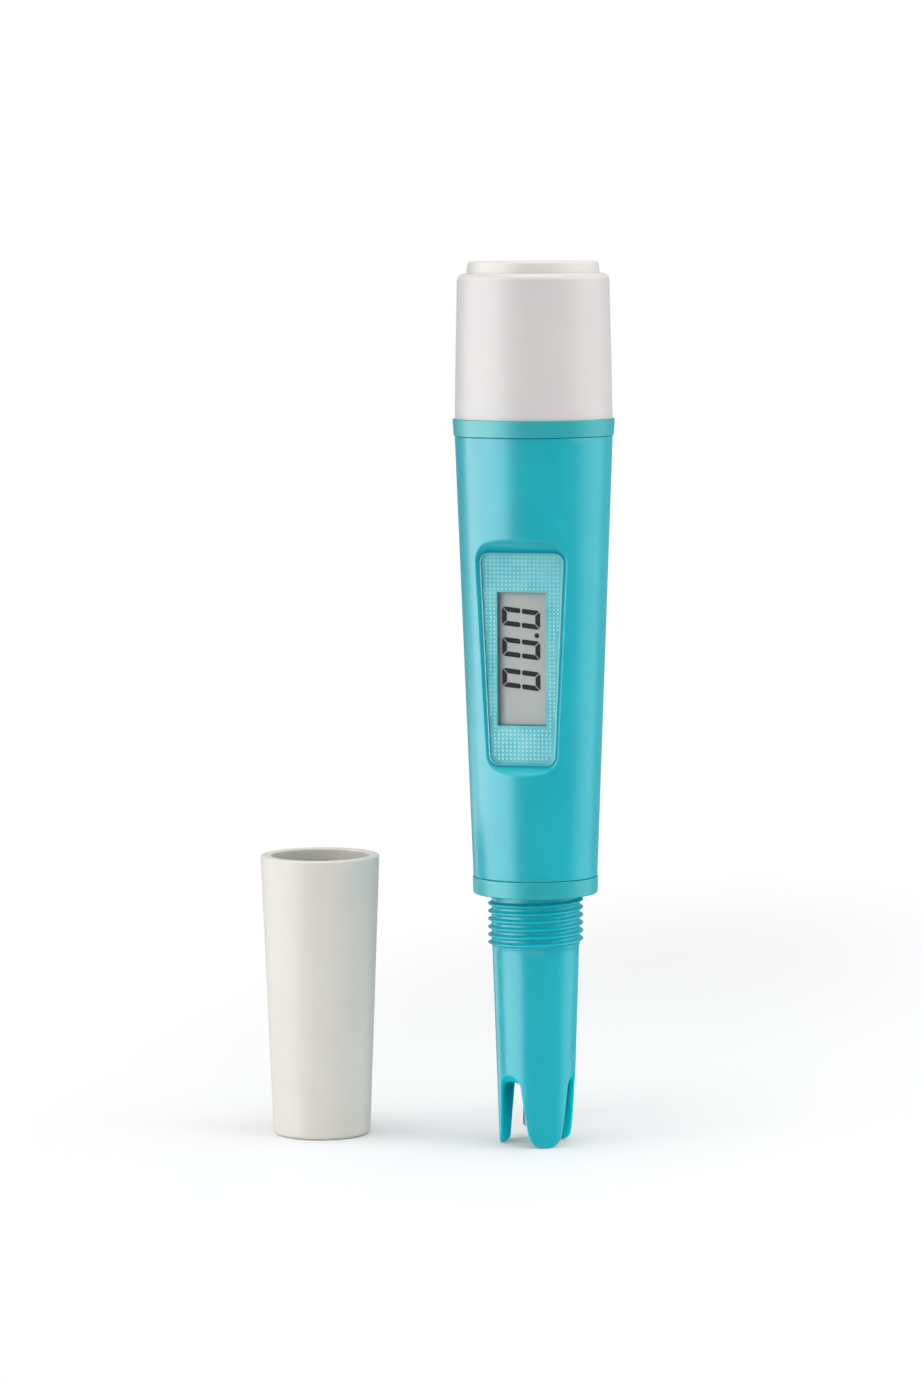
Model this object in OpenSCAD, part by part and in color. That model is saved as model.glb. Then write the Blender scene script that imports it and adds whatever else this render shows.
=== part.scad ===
// Salinity tester pen, standing on its three leg tips, with its probe cap beside it.
// Millimetres, +Z up, the floor at Z = 0, the window on the -Y side.

/* [Pen heights, from the floor up] */
// Length of the sleeve, from the leg tips to the threaded neck
sleeve_len = 42; // [38:0.5:50]
// Length of the threaded neck
neck_len = 11.2; // [9:0.1:14]
// Height of the seal ring under the case
foot_ring_h = 3.6; // [2.5:0.1:5]
// Length of the tapered case
case_len = 92.1; // [88:0.1:110]
// Height of the seal ring over the case
head_ring_h = 3.5; // [2.5:0.1:4.5]
// Height of the battery cap
cap_len = 30.1; // [28:0.1:34]
// Height of the button above the battery cap
button_proud = 2.5; // [2:0.1:4]

/* [Case] */
// Outer radius of the case at its foot
case_foot_r = 12.98; // [12.8:0.01:14]
// Outer radius of the case at its head
case_head_r = 16.43; // [16:0.01:17.5]
// Wall of the case
case_wall = 1.8; // [1.4:0.1:2]
// Length of the socket for the probe sleeve
socket_len = 9.2; // [7:0.1:12]
// Step from the case in to the threaded spigot under the battery cap
spigot_step = 3.03; // [2.75:0.01:3.2]
// Wall of that spigot
spigot_wall = 1.2; // [1:0.05:1.3]
// Length of that spigot
spigot_len = 8.5; // [6:0.1:9.5]
// Width of the rails that hold the board's edges
rail_w = 4.2; // [3:0.1:5]
// How far the board's edges reach into the rails
rail_lap = 0.6; // [0.4:0.1:1]

/* [Window] */
// Depth of the flat window floor under the case's surface, at the lens's head
window_depth = 3.88; // [3.7:0.01:4]
// Height of the lens's foot above the foot of the case
lens_base = 24.3; // [22:0.1:28]
// Length of the lens
lens_len = 44; // [42:0.1:46]
// Width of the lens at its foot
lens_foot_w = 13.8; // [13:0.1:14.4]
// Width of the lens at its head
lens_head_w = 17.9; // [16.5:0.1:18]
// Corner radius of the lens
lens_corner_r = 2; // [1:0.1:3]
// Thickness of the lens
lens_h = 1; // [0.8:0.05:1.1]
// How far the lens stands out of the window floor
lens_proud = 0.25; // [0.1:0.05:0.4]
// Thickness of the adhesive gasket behind the lens
gasket_h = 0.15; // [0.1:0.05:0.3]
// Thickness of the wall behind the lens
window_wall = 0.95; // [0.8:0.05:1.1]
// Rim of the flat floor above and below the lens
window_rim = 1; // [0.6:0.1:2]
// How far the recess reaches past the sides of that floor
window_side = 0.7; // [0.4:0.05:1]
// Corner radius of the window recess
window_corner_r = 3.6; // [2.5:0.1:4]
// Rise of the sloped walls for each millimetre of recess depth
window_draft = 0.45; // [0.2:0.05:0.6]

/* [Display] */
// Width of the display opening
display_w = 10.45; // [9.5:0.05:11]
// Height of the display opening
display_len = 27.6; // [25:0.1:29]
// Width of the display glass
glass_w = 12.4; // [12:0.1:12.6]
// Length of the display glass
glass_len = 35; // [33:0.1:37]
// Thickness of the display glass
glass_h = 1.75; // [1.5:0.05:2]
// Wall of the display bezel
bezel_wall = 0.9; // [0.7:0.05:1]
// Depth of the bezel behind the glass
bezel_depth = 2.6; // [2.2:0.1:3]
// Width of each contact strip
strip_w = 1.4; // [1:0.1:1.8]
// Margin of the gasket round the display opening
gasket_margin = 1; // [0.6:0.1:1.2]

/* [Board] */
// Thickness of the circuit board
board_h = 1.2; // [0.8:0.1:1.4]
// Width of the circuit board
board_w = 17; // [16:0.1:17.4]
// Width of the board's tongue between the rails and the battery tray
tongue_w = 12.8; // [12:0.1:13.4]
// Distance from the board's shoulders up to the battery tray
shoulder_gap = 5; // [3:0.5:8]
// Gap between the foot of the board and the sleeve's socket
board_base = 2.2; // [2:0.1:4]
// Radius of a lead wire with its insulation
wire_r = 0.45; // [0.3:0.05:0.6]
// Distance between the wires' ends on the board
wire_pitch = 5; // [3:0.5:6]
// Length of each wire along the board
wire_lap = 3; // [2:0.5:5]

/* [Board parts] */
// Width of the processor
chip_w = 10; // [7:0.5:11]
// Thickness of the processor
chip_h = 1.5; // [1:0.1:2]
// Gap between the processor and the board
chip_lift = 0.1; // [0.05:0.05:0.2]
// Number of leads on each side of the processor
chip_leads = 8; // [4:1:10]
// Width of each lead
lead_w = 0.4; // [0.3:0.05:0.6]
// Reach of each lead past the processor
lead_reach = 0.8; // [0.5:0.1:1.2]
// Thickness of each lead
lead_h = 0.5; // [0.3:0.05:0.6]
// Distance of the processor under the middle of the window
chip_drop = 4; // [2:0.5:6]
// Length of the crystal
crystal_len = 10; // [8:0.5:11]
// Radius of the crystal's round ends
crystal_r = 2.2; // [1.6:0.1:2.4]
// Height of the crystal
crystal_h = 3.4; // [2.5:0.1:4]
// Distance of the crystal under the middle of the window
crystal_drop = 17; // [15:0.5:19]
// Radius of each capacitor
capacitor_r = 2.2; // [1.6:0.1:2.4]
// Height of each capacitor
capacitor_h = 5.2; // [4:0.1:6]
// Distance between the capacitors
capacitor_pitch = 8.8; // [6:0.1:10]
// Distance of the capacitors over the middle of the window
capacitor_rise = 14; // [13:0.5:16]
// Length of each chip resistor
resistor_len = 1.8; // [1.2:0.1:2.2]
// Width of each chip resistor
resistor_w = 1; // [0.6:0.1:1.2]
// Height of each chip resistor
resistor_h = 0.6; // [0.4:0.05:0.8]
// Distance between the two columns of resistors
resistor_spread = 8; // [4:0.5:10]
// Distance between the resistors in a column
resistor_pitch = 2.4; // [1.6:0.1:3]
// Distance of the first resistor over the middle of the window
resistor_rise = 4.5; // [3:0.5:6]

/* [Battery tray] */
// Radius of a button cell
cell_r = 5.8; // [5.6:0.05:6]
// Height of a button cell
cell_h = 5.4; // [5:0.05:5.6]
// Number of button cells
cell_count = 4; // [3:1:4]
// Wall of the battery tray
tray_wall = 1; // [0.8:0.1:1.2]
// Floor of the battery tray
tray_floor = 1.2; // [1:0.1:1.6]
// How far the tray reaches past the middle of the cells
tray_reach = 1.7; // [1:0.1:2.5]
// Thickness of the flange that rests on the spigot
flange_h = 1.2; // [0.8:0.1:1.6]
// Height of the sprung contact under the cells
leaf_h = 2; // [1.6:0.1:2.4]
// Length of the sprung contact
leaf_len = 8; // [6:0.5:9]
// Width of the sprung contact
leaf_w = 4; // [3:0.5:5]
// Thickness of the contact metal
contact_h = 0.4; // [0.3:0.05:0.5]
// Width of the contacts' tabs
tab_w = 3; // [2:0.1:4]
// Radius of the contact over the cells
plate_r = 4.4; // [3:0.1:5]
// Radius of the tray's screws
screw_r = 0.7; // [0.5:0.05:0.8]
// Radius of the screws' heads
screw_head_r = 1.3; // [1.1:0.05:1.5]
// Height of the screws' heads
screw_head_h = 0.8; // [0.6:0.05:1]
// Length of the screws under their heads
screw_len = 3.2; // [2.4:0.1:3.6]
// Distance of the screws from the tray's middle
screw_x = 4.7; // [4.2:0.1:5]
// Distance of the lower screw over the tray's foot
screw_foot_gap = 4; // [3.5:0.1:6]
// Distance of the upper screw under the tray's head
screw_head_gap = 3.4; // [3:0.1:5]

/* [Switch and trimmer] */
// Thickness of the small board under the switch
switch_board_h = 0.8; // [0.6:0.1:1]
// Width of the small board under the switch
switch_board_w = 11; // [9:0.5:13]
// Width of the switch
switch_w = 6; // [5:0.1:7]
// Height of the switch
switch_h = 2.4; // [2.2:0.1:2.8]
// Thickness of the switch's base
switch_base_h = 0.7; // [0.5:0.05:0.8]
// Thickness of the switch's lid
switch_lid_h = 0.4; // [0.3:0.05:0.5]
// Radius of the switch plunger
plunger_r = 1.7; // [1.4:0.05:1.9]
// Width of the collar that keeps the plunger in
collar_w = 0.5; // [0.3:0.05:0.6]
// Thickness of that collar
collar_h = 0.3; // [0.2:0.05:0.4]
// How far the plunger stands out of the switch
plunger_proud = 0.75; // [0.6:0.05:0.9]
// Width of the calibration trimmer
trimmer_w = 6.6; // [6:0.1:6.8]
// Depth of the calibration trimmer
trimmer_h = 3.6; // [3:0.1:4]
// Radius of the trimmer's screw
trimmer_r = 1.8; // [1.4:0.05:2]
// Length of the trimmer's screw
trimmer_screw_h = 1.3; // [1:0.1:1.6]
// Depth of the seat that the screw turns in
trimmer_sink = 1; // [0.8:0.1:1.2]
// Width of the screw's slot
trimmer_slot_w = 0.6; // [0.4:0.05:0.8]
// Gap between the tray's flange and the trimmer
trimmer_gap = 0.4; // [0.3:0.1:1]

/* [Battery cap] */
// Step from the case in to the cap's foot
cap_step = 0.03; // [0:0.01:0.2]
// Height of the cap's waist, where its taper changes
cap_waist_h = 12; // [8:0.5:20]
// How much the cap narrows from its foot to its waist
cap_waist_taper = 0.2; // [0:0.01:0.4]
// How much the cap narrows from its foot to its head
cap_head_taper = 0.62; // [0.2:0.01:0.8]
// Fillet round the head of the cap
cap_fillet = 1.5; // [0.8:0.1:1.5]
// Width of the flat rim between that fillet and the button's pocket
cap_rim_w = 0.23; // [0.1:0.01:0.4]
// Depth of the pocket that the button sits in
pocket_depth = 3.6; // [3.4:0.1:4]
// Thickness of the partition under that pocket
partition_h = 1.4; // [1.2:0.1:1.8]
// Radius of the boss round the button's stem
boss_r = 3.6; // [3.5:0.05:3.8]
// Height of that boss
boss_h = 2; // [1.6:0.1:2.2]
// Lip over the seal round the stem
gland_lip = 0.3; // [0.2:0.05:0.4]

/* [Button] */
// How much the button narrows to its head
button_taper = 0.35; // [0:0.05:0.8]
// Fillet round the head of the button
button_fillet = 0.6; // [0.3:0.1:1]
// Thickness of the button's top
button_top_h = 1.6; // [1.2:0.1:1.8]
// Wall of the button's skirt
button_wall = 1.4; // [1:0.1:1.6]
// Radius of the button's stem
stem_r = 2.2; // [2:0.05:2.3]
// Depth of the stem's groove for its clip
stem_groove = 0.7; // [0.4:0.05:0.9]
// Travel of the button
button_travel = 1; // [0.6:0.1:1]
// Thickness of the clip that holds the button
clip_h = 0.6; // [0.4:0.05:0.7]
// Outer radius of that clip
clip_r = 3.6; // [3.2:0.05:4]
// Radius of the wire of the button's spring
spring_wire_r = 0.25; // [0.2:0.01:0.3]
// Number of turns of the button's spring
spring_turns = 4; // [3:0.5:5]

/* [Seal rings] */
// How far the ring under the case stands out of it
foot_ring_proud = 0.15; // [0:0.01:0.4]
// How far the ring over the case stands out of it
head_ring_proud = 0.24; // [0:0.01:0.5]
// How much that ring narrows from its head to its foot
head_ring_taper = 0.2; // [0:0.05:0.4]
// Rounding of the rings' edges
ring_fillet = 0.3; // [0.1:0.05:0.5]
// Thickness of the small round seals
seal_w = 0.76; // [0.7:0.02:0.8]
// Thickness of the round seal in the socket
socket_seal_w = 1; // [0.8:0.05:1.1]

/* [Probe sleeve] */
// Outer radius of the sleeve at the leg tips
sleeve_tip_r = 7.74; // [7.6:0.01:8.4]
// Outer radius of the sleeve under the neck
sleeve_head_r = 9.11; // [9:0.01:9.2]
// Wall of the sleeve
sleeve_wall = 1.2; // [1:0.05:1.3]
// Outer radius of the neck, over its thread
neck_r = 10; // [9.8:0.05:10.2]
// Bevel at the foot of the thread
neck_bevel = 0.6; // [0.3:0.1:0.8]
// Radius of the spigot above the neck
sleeve_spigot_r = 9.25; // [9.15:0.01:9.4]
// Step in the bore at the neck, where the holder seats
bore_step = 0.3; // [0.2:0.05:0.5]
// Turn of the first leg from the window towards +X, in degrees
leg_turn = 30; // [0:1:60]
// Height of the arches between the legs
arch_h = 15.3; // [12:0.1:16]
// Radius of each arch
arch_r = 3; // [2.6:0.05:3.2]
// Half width of each slot where the rounded tips begin
slot_foot_w = 4.2; // [3.8:0.05:4.4]
// Rounding of the leg tips
tip_r = 3; // [2.6:0.1:3.4]
// Half width of the flat on each leg tip
tip_flat = 0.55; // [0.4:0.05:0.7]

/* [Probe] */
// Height of the electrode holder's underside above the leg tips
chamber_h = 17; // [16.5:0.1:20]
// Radius of the electrodes and of the temperature sensor
pin_r = 1; // [0.8:0.05:1.1]
// Distance of each pin from the pen's axis
pin_circle_r = 2.6; // [2.4:0.05:3]
// Height of the pins' ends above the leg tips
pin_base = 4; // [3.5:0.1:6]
// Length of each pin above the holder
pin_tail = 1.6; // [1:0.1:2.2]
// Bevel round each pin's end
pin_bevel = 0.3; // [0.1:0.05:0.4]
// Reach of the holder past the foot of the case
holder_reach = 1.2; // [0.5:0.1:2]
// Bevel round the holder's underside
holder_bevel = 0.6; // [0.2:0.1:1]
// Length of the holder's straight seat under the neck
holder_seat = 6; // [4:0.5:8]

/* [Probe cap] */
// Height of the probe cap
probe_cap_len = 59.7; // [58:0.1:62]
// Outer radius of the probe cap at its mouth
probe_cap_mouth_r = 12.6; // [12.4:0.05:13]
// Outer radius of the probe cap at its closed end
probe_cap_end_r = 10.28; // [10.2:0.01:11]
// Wall of the probe cap
probe_cap_wall = 1.6; // [1.2:0.05:1.7]
// Floor of the probe cap
probe_cap_floor = 2; // [1.6:0.1:3]
// Length of the threaded mouth
mouth_len = 14; // [12:0.1:16]
// Fillet round the closed end
probe_cap_fillet = 1; // [0.5:0.1:1.4]
// Rounding of the mouth's lip
probe_cap_lip = 0.4; // [0.2:0.05:0.6]
// Distance of the probe cap's axis to the left of the pen
probe_cap_dx = 47.35; // [36:0.05:60]
// Distance of the probe cap's axis behind the pen
probe_cap_dy = 1.8; // [0:0.1:4]

/* [Clearances] */
// Gap in a bonded or pushed fit
fit_gap = 0.05; // [0.02:0.01:0.08]
// Gap round the small seals, the clip and the pins
seal_gap = 0.02; // [0.01:0.01:0.04]
// Gap in a running fit
run_gap = 0.08; // [0.04:0.01:0.1]
// Gap round the button and round the cells
loose_gap = 0.2; // [0.12:0.01:0.25]
// Gap between the stem and the switch plunger
press_gap = 0.65; // [0.62:0.01:0.8]
// Clearance of the threads
thread_gap = 0.35; // [0.2:0.05:0.4]

/* [Hidden] */
$fn = 96;
arc_steps = 8;
wire_steps = 10;
eps = 0.01;
// Extra length of a cutter past the surface that it cuts
past = 1;
// Reach of the window's cutter in front of its floor
recess_reach = 6;
leg_count = 3;

turquoise = [0.20, 0.71, 0.77];
teal = [0.24, 0.66, 0.69];
white = [0.90, 0.89, 0.87];
black = [0.12, 0.12, 0.13];
steel = [0.70, 0.70, 0.72];
board_green = [0.10, 0.38, 0.22];
clear = [0.85, 0.93, 0.95, 0.35];

// Heights along the pen
z_neck = sleeve_len;
z_ring = z_neck + neck_len;
z_case = z_ring + foot_ring_h;
z_head = z_case + case_len;
z_cap = z_head + head_ring_h;
z_roof = z_cap + cap_len;
z_top = z_roof + button_proud;

// Heights inside the battery cap, from the button down to the tray
z_pocket = z_roof - pocket_depth;
z_partition = z_pocket - partition_h;
z_clip = z_partition - fit_gap - clip_h;
z_stem = z_clip - clip_h;
z_plunger = z_stem - press_gap;
z_switch = z_plunger - plunger_proud - switch_h;
z_tray_top = z_switch - switch_board_h;
z_contact = z_tray_top - tray_wall - contact_h;
z_cells = z_contact - cell_count * cell_h;
z_tray = z_cells - leaf_h - tray_floor;
z_spigot = z_head + spigot_len;
z_trimmer = z_spigot + flange_h + trimmer_gap + trimmer_w / 2;
z_button_under = z_top - button_top_h;

// Heights of the window and of the display
z_lens = z_case + lens_base;
z_window = z_lens + lens_len / 2;
z_board = z_case + socket_len + board_base;
z_board_shoulder = z_tray - shoulder_gap;
holder_top = z_case + holder_reach;
z_pin_top = holder_top + pin_tail;

// The case's taper, and its outer and inner radius at a height
case_slope = (case_head_r - case_foot_r) / case_len;
function case_r(z) = case_foot_r + case_slope * (z - z_case);
function case_inner_r(z) = case_r(z) - case_wall;

// Depths behind the window, along Y
window_y = case_r(z_lens + lens_len) - window_depth;
y_lens = -window_y - lens_proud;
y_gasket = y_lens + lens_h;
y_pocket = y_gasket + gasket_h;
y_pad = y_pocket + window_wall;
y_glass = y_pad + fit_gap;
y_strip = y_glass + glass_h;
y_board = y_strip + bezel_depth;
y_tray = y_board + board_h;
cell_y = y_tray + tray_wall + cell_r + loose_gap;
tray_half_w = cell_r + loose_gap + tray_wall;
tray_front_y = cell_y + tray_reach;
bezel_half_w = glass_w / 2 + fit_gap + bezel_wall;
bezel_len = glass_len + 2 * (fit_gap + bezel_wall);

// Radii that follow from the case and from the fits
spigot_r = case_head_r - spigot_step;
spigot_bore_r = spigot_r - spigot_wall;
cap_bore_r = spigot_r + run_gap;
cap_foot_r = case_head_r - cap_step;
cap_head_r = cap_foot_r - cap_head_taper;
pocket_r = cap_head_r - cap_fillet - cap_rim_w;
button_r = pocket_r - loose_gap;
foot_ring_r = case_foot_r + foot_ring_proud;
head_ring_foot_r = case_head_r + head_ring_proud;
head_ring_r = head_ring_foot_r + head_ring_taper;
stem_groove_r = stem_r - stem_groove;
collar_r = plunger_r + collar_w;
socket_r = sleeve_spigot_r + fit_gap;
sleeve_bore_r = sleeve_head_r - sleeve_wall;
sleeve_slope = (sleeve_head_r - sleeve_tip_r) / sleeve_len;
sleeve_top_bore_r = sleeve_bore_r - bore_step;
seal_groove_r = socket_r - socket_seal_w;
z_socket_seal = z_case + socket_len / 2;
mouth_r = neck_r + thread_gap;
flange_r = (spigot_r + spigot_bore_r) / 2;

// The pen and its cap stand so that the middle of their box is at X = 0
pen_x = (probe_cap_dx + probe_cap_mouth_r - head_ring_r) / 2;
probe_cap_x = pen_x - probe_cap_dx;

// Places of the two screws that hold the tray on the board
screw_places = [[screw_x, z_tray + screw_foot_gap], [-screw_x, z_tray_top - screw_head_gap]];

// The pins stand opposite the slots: the sensor first, then the two electrodes
pin_turn = leg_turn + 180 / leg_count;
function pin_place(i) =
    let (a = pin_turn + i * 360 / leg_count)
    [pin_circle_r * sin(a), -pin_circle_r * cos(a)];

// Height of the arches' centres, and how fast the slots widen under them
arch_z = arch_h - arch_r;
slot_flare = (slot_foot_w - arch_r) / (arch_z - tip_r);

// Points of an arc
function arc(x, y, r, from, to) =
    [for (i = [0:arc_steps])
        let (a = from + (to - from) * i / arc_steps)
        [x + r * cos(a), y + r * sin(a)]];

// Upright trapezoid with rounded corners, as points of X and Z
function rounded_trapezoid(foot_w, head_w, z0, z1, r) =
    let (
        slope = (head_w - foot_w) / 2 / (z1 - z0),
        tilt = atan(slope),
        foot_x = foot_w / 2 + slope * r - r / cos(tilt),
        head_x = head_w / 2 - slope * r - r / cos(tilt)
    )
    concat(
        arc(foot_x, z0 + r, r, -90, -tilt),
        arc(head_x, z1 - r, r, -tilt, 90),
        arc(-head_x, z1 - r, r, 90, 180 + tilt),
        arc(-foot_x, z0 + r, r, 180 + tilt, 270)
    );

// The lens's outline, grown by a margin
function lens_outline(margin) =
    rounded_trapezoid(
        lens_foot_w + 2 * margin, lens_head_w + 2 * margin,
        z_lens - margin, z_lens + lens_len + margin, lens_corner_r + margin
    );

// The recess's outline at a depth in front of its floor
function recess_outline(rise) =
    let (
        grow = window_rim + window_draft * rise,
        z0 = z_lens - grow,
        z1 = z_lens + lens_len + grow,
        side = window_side + window_draft * rise,
        floor_foot_w = sqrt(pow(case_r(z0), 2) - pow(window_y, 2)),
        floor_head_w = sqrt(pow(case_r(z1), 2) - pow(window_y, 2))
    )
    rounded_trapezoid(
        2 * (floor_foot_w + side), 2 * (floor_head_w + side), z0, z1, window_corner_r
    );

// Places the pen's pieces on the pen's axis
module on_pen() {
    translate([pen_x, 0, 0]) children();
}

// A plate from an outline in X and Z, between two depths
module plate(points, y0, y1) {
    translate([0, y1, 0])
        rotate([90, 0, 0])
            linear_extrude(height = y1 - y0) polygon(points);
}

// A block between two corners, centred on X
module block(width, y0, y1, z0, z1) {
    translate([-width / 2, y0, z0]) cube([width, y1 - y0, z1 - z0]);
}

// A closed solid between two outlines with as many points
module loft(back, front, y_back, y_front) {
    n = len(back);
    polyhedron(
        points = concat([for (p = back) [p[0], y_back, p[1]]], [for (p = front) [p[0], y_front, p[1]]]),
        faces = concat(
            [[for (i = [0:n - 1]) i]],
            [[for (i = [n - 1:-1:0]) n + i]],
            [for (i = [0:n - 1]) [(i + 1) % n, i, n + i, n + (i + 1) % n]]
        )
    );
}

// A ring of round section
module o_ring(inner_r, thickness, z) {
    translate([0, 0, z])
        rotate_extrude() translate([inner_r + thickness / 2, 0]) circle(d = thickness, $fn = 32);
}

// Space inside the case, with the window's pad and the board's rails left standing
module case_cavity() {
    z0 = z_case + socket_len;
    z1 = z_head - case_wall;
    pad_foot = z_lens - window_rim - case_wall;
    pad_head = z_lens + lens_len + window_rim + 2 * case_wall;
    rail_y = y_board + board_h / 2;
    difference() {
        translate([0, 0, z0]) cylinder(h = z1 - z0, r1 = case_inner_r(z0), r2 = case_inner_r(z1));
        block(4 * case_head_r, -2 * case_head_r, y_pad, pad_foot, pad_head);
        for (side = [-1, 1])
            difference() {
                translate([
                    side * (board_w / 2 - rail_lap + case_head_r / 2), rail_y, (z0 + z_board_shoulder) / 2
                ])
                    cube([case_head_r, rail_w, z_board_shoulder - z0], center = true);
                translate([0, rail_y, (z_board + z_head) / 2])
                    cube([board_w + 2 * fit_gap, board_h + 2 * fit_gap, z_head - z_board], center = true);
            }
    }
}

module body_shell() {
    color(turquoise) on_pen() difference() {
        union() {
            translate([0, 0, z_case]) cylinder(h = case_len, r1 = case_foot_r, r2 = case_head_r);
            translate([0, 0, z_head - eps]) cylinder(h = spigot_len + eps, r = spigot_r);
        }
        case_cavity();
        translate([0, 0, z_case - past]) cylinder(h = socket_len + 2 * past, r = socket_r);
        translate([0, 0, z_head - case_wall - past])
            cylinder(h = spigot_len + case_wall + 2 * past, r = spigot_bore_r);
        loft(recess_outline(0), recess_outline(recess_reach), -window_y, -window_y - recess_reach);
        plate(lens_outline(fit_gap), -window_y - past, y_pocket);
        block(display_w, -window_y, y_pad + past, z_window - display_len / 2, z_window + display_len / 2);
    }
}

module window_lens() {
    color(clear) on_pen() plate(lens_outline(0), y_lens, y_gasket);
}

module lens_gasket() {
    color(black) on_pen() difference() {
        plate(lens_outline(0), y_gasket, y_pocket);
        block(display_w + 2 * gasket_margin, y_gasket - past, y_pocket + past,
            z_window - display_len / 2 - gasket_margin, z_window + display_len / 2 + gasket_margin);
    }
}

module lcd_panel() {
    color([0.66, 0.68, 0.67]) on_pen()
        block(glass_w, y_glass, y_strip, z_window - glass_len / 2, z_window + glass_len / 2);
}

module lcd_bezel() {
    pocket_w = glass_w + 2 * fit_gap;
    pocket_len = glass_len + 2 * fit_gap;
    color(white) on_pen() difference() {
        block(2 * bezel_half_w, y_glass, y_board, z_window - bezel_len / 2, z_window + bezel_len / 2);
        block(pocket_w, y_glass - past, y_strip, z_window - pocket_len / 2, z_window + pocket_len / 2);
        block(display_w, y_glass, y_board + past,
            z_window - glass_len / 2 + bezel_wall, z_window + glass_len / 2 - bezel_wall);
    }
}

module contact_strips() {
    strip_len = glass_len - 2 * bezel_wall - 2 * fit_gap;
    color([0.75, 0.55, 0.60]) on_pen()
        for (side = [-1, 1])
            translate([side * (display_w / 2 - fit_gap - strip_w / 2), 0, 0])
                block(strip_w, y_strip, y_board, z_window - strip_len / 2, z_window + strip_len / 2);
}

// Round hole along Y through the board or into the tray
module hole_y(x, z, r, y0, y1) {
    translate([x, y1, z]) rotate([90, 0, 0]) cylinder(h = y1 - y0, r = r);
}

module main_board() {
    color(board_green) on_pen() difference() {
        union() {
            block(board_w, y_board, y_tray, z_board, z_board_shoulder);
            block(tongue_w, y_board, y_tray, z_board_shoulder - eps, z_switch);
        }
        for (p = screw_places) hole_y(p[0], p[1], screw_r + fit_gap, y_board - past, y_tray + past);
    }
}

module processor_chip() {
    lead_pitch = chip_w / (chip_leads + 1);
    color(black) on_pen() translate([0, y_tray, z_window - chip_drop]) {
        block(chip_w, chip_lift, chip_h, -chip_w / 2, chip_w / 2);
        for (i = [1:chip_leads])
            block(chip_w + 2 * lead_reach, 0, lead_h,
                i * lead_pitch - (chip_w + lead_w) / 2, i * lead_pitch - (chip_w - lead_w) / 2);
    }
}

module board_parts() {
    crystal_straight = crystal_len - 2 * crystal_r;
    color(steel) on_pen() translate([0, y_tray, z_window]) {
        // crystal in its can
        translate([0, 0, -crystal_drop])
            rotate([-90, 0, 0]) linear_extrude(height = crystal_h) {
                for (side = [-1, 1]) translate([side * crystal_straight / 2, 0]) circle(r = crystal_r);
                square([crystal_straight, 2 * crystal_r], center = true);
            }
        // round capacitors
        for (side = [-1, 1])
            translate([side * capacitor_pitch / 2, 0, capacitor_rise])
                rotate([-90, 0, 0]) cylinder(h = capacitor_h, r = capacitor_r);
        // chip resistors
        for (i = [0:2], side = [-1, 1])
            translate([side * resistor_spread / 2, 0, resistor_rise + i * resistor_pitch])
                block(resistor_len, 0, resistor_h, -resistor_w / 2, resistor_w / 2);
    }
}

// Points along a wire: a smooth rise from a pin's end to the board's foot
function wire_point(from, to, t) =
    let (s = t * t * (3 - 2 * t))
    [from[0] + (to[0] - from[0]) * s, from[1] + (to[1] - from[1]) * s, from[2] + (to[2] - from[2]) * t];

// A tube along points that rise in Z, with its rings laid flat
module rising_tube(points, r, sides) {
    n = len(points);
    polyhedron(
        points = [for (p = points, k = [0:sides - 1])
            [p[0] + r * cos(360 * k / sides), p[1] + r * sin(360 * k / sides), p[2]]],
        faces = concat(
            [[for (k = [0:sides - 1]) k]],
            [[for (k = [sides - 1:-1:0]) (n - 1) * sides + k]],
            [for (i = [0:n - 2], k = [0:sides - 1])
                [i * sides + k, (i + 1) * sides + k,
                    (i + 1) * sides + (k + 1) % sides, i * sides + (k + 1) % sides]]
        )
    );
}

module lead_wires() {
    color([0.75, 0.15, 0.12]) on_pen()
        for (i = [0:leg_count - 1]) {
            start = [pin_place(i)[0], pin_place(i)[1], z_pin_top];
            end = [(1 - i) * wire_pitch, y_tray + wire_r + fit_gap, z_board + wire_lap];
            rising_tube([for (k = [0:wire_steps]) wire_point(start, end, k / wire_steps)], wire_r, 8);
        }
}

module battery_tray() {
    pocket_foot = z_tray + tray_floor;
    pocket_head = z_tray_top - tray_wall;
    tab_slot_w = tab_w + 2 * fit_gap;
    color(white) on_pen() difference() {
        union() {
            block(2 * tray_half_w, y_tray, tray_front_y, z_tray, z_tray_top);
            translate([0, 0, z_spigot]) cylinder(h = flange_h, r = flange_r);
        }
        translate([0, cell_y, pocket_foot])
            cylinder(h = pocket_head - pocket_foot, r = cell_r + loose_gap);
        block(
            tongue_w + 2 * loose_gap, y_board - fit_gap, y_tray,
            z_spigot - past, z_spigot + flange_h + past
        );
        block(tab_slot_w, y_tray - past, cell_y, pocket_foot - eps, pocket_foot + contact_h + fit_gap);
        block(tab_slot_w, y_tray - past, cell_y, pocket_head - contact_h - fit_gap, pocket_head);
        for (p = screw_places)
            hole_y(p[0], p[1], screw_r - fit_gap, y_tray - past, y_board + screw_len + loose_gap);
    }
}

module tray_screws() {
    cross_w = 1.7;
    cross_slot = 0.35;
    color(steel) on_pen()
        for (p = screw_places) translate([p[0], 0, p[1]]) difference() {
            union() {
                hole_y(0, 0, screw_head_r, y_board - screw_head_h, y_board);
                hole_y(0, 0, screw_r - fit_gap, y_board - eps, y_board + screw_len);
            }
            for (a = [0, 90])
                translate([0, y_board - screw_head_h, 0]) rotate([0, a, 0])
                    cube([cross_w, screw_head_h, cross_slot], center = true);
        }
}

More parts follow.
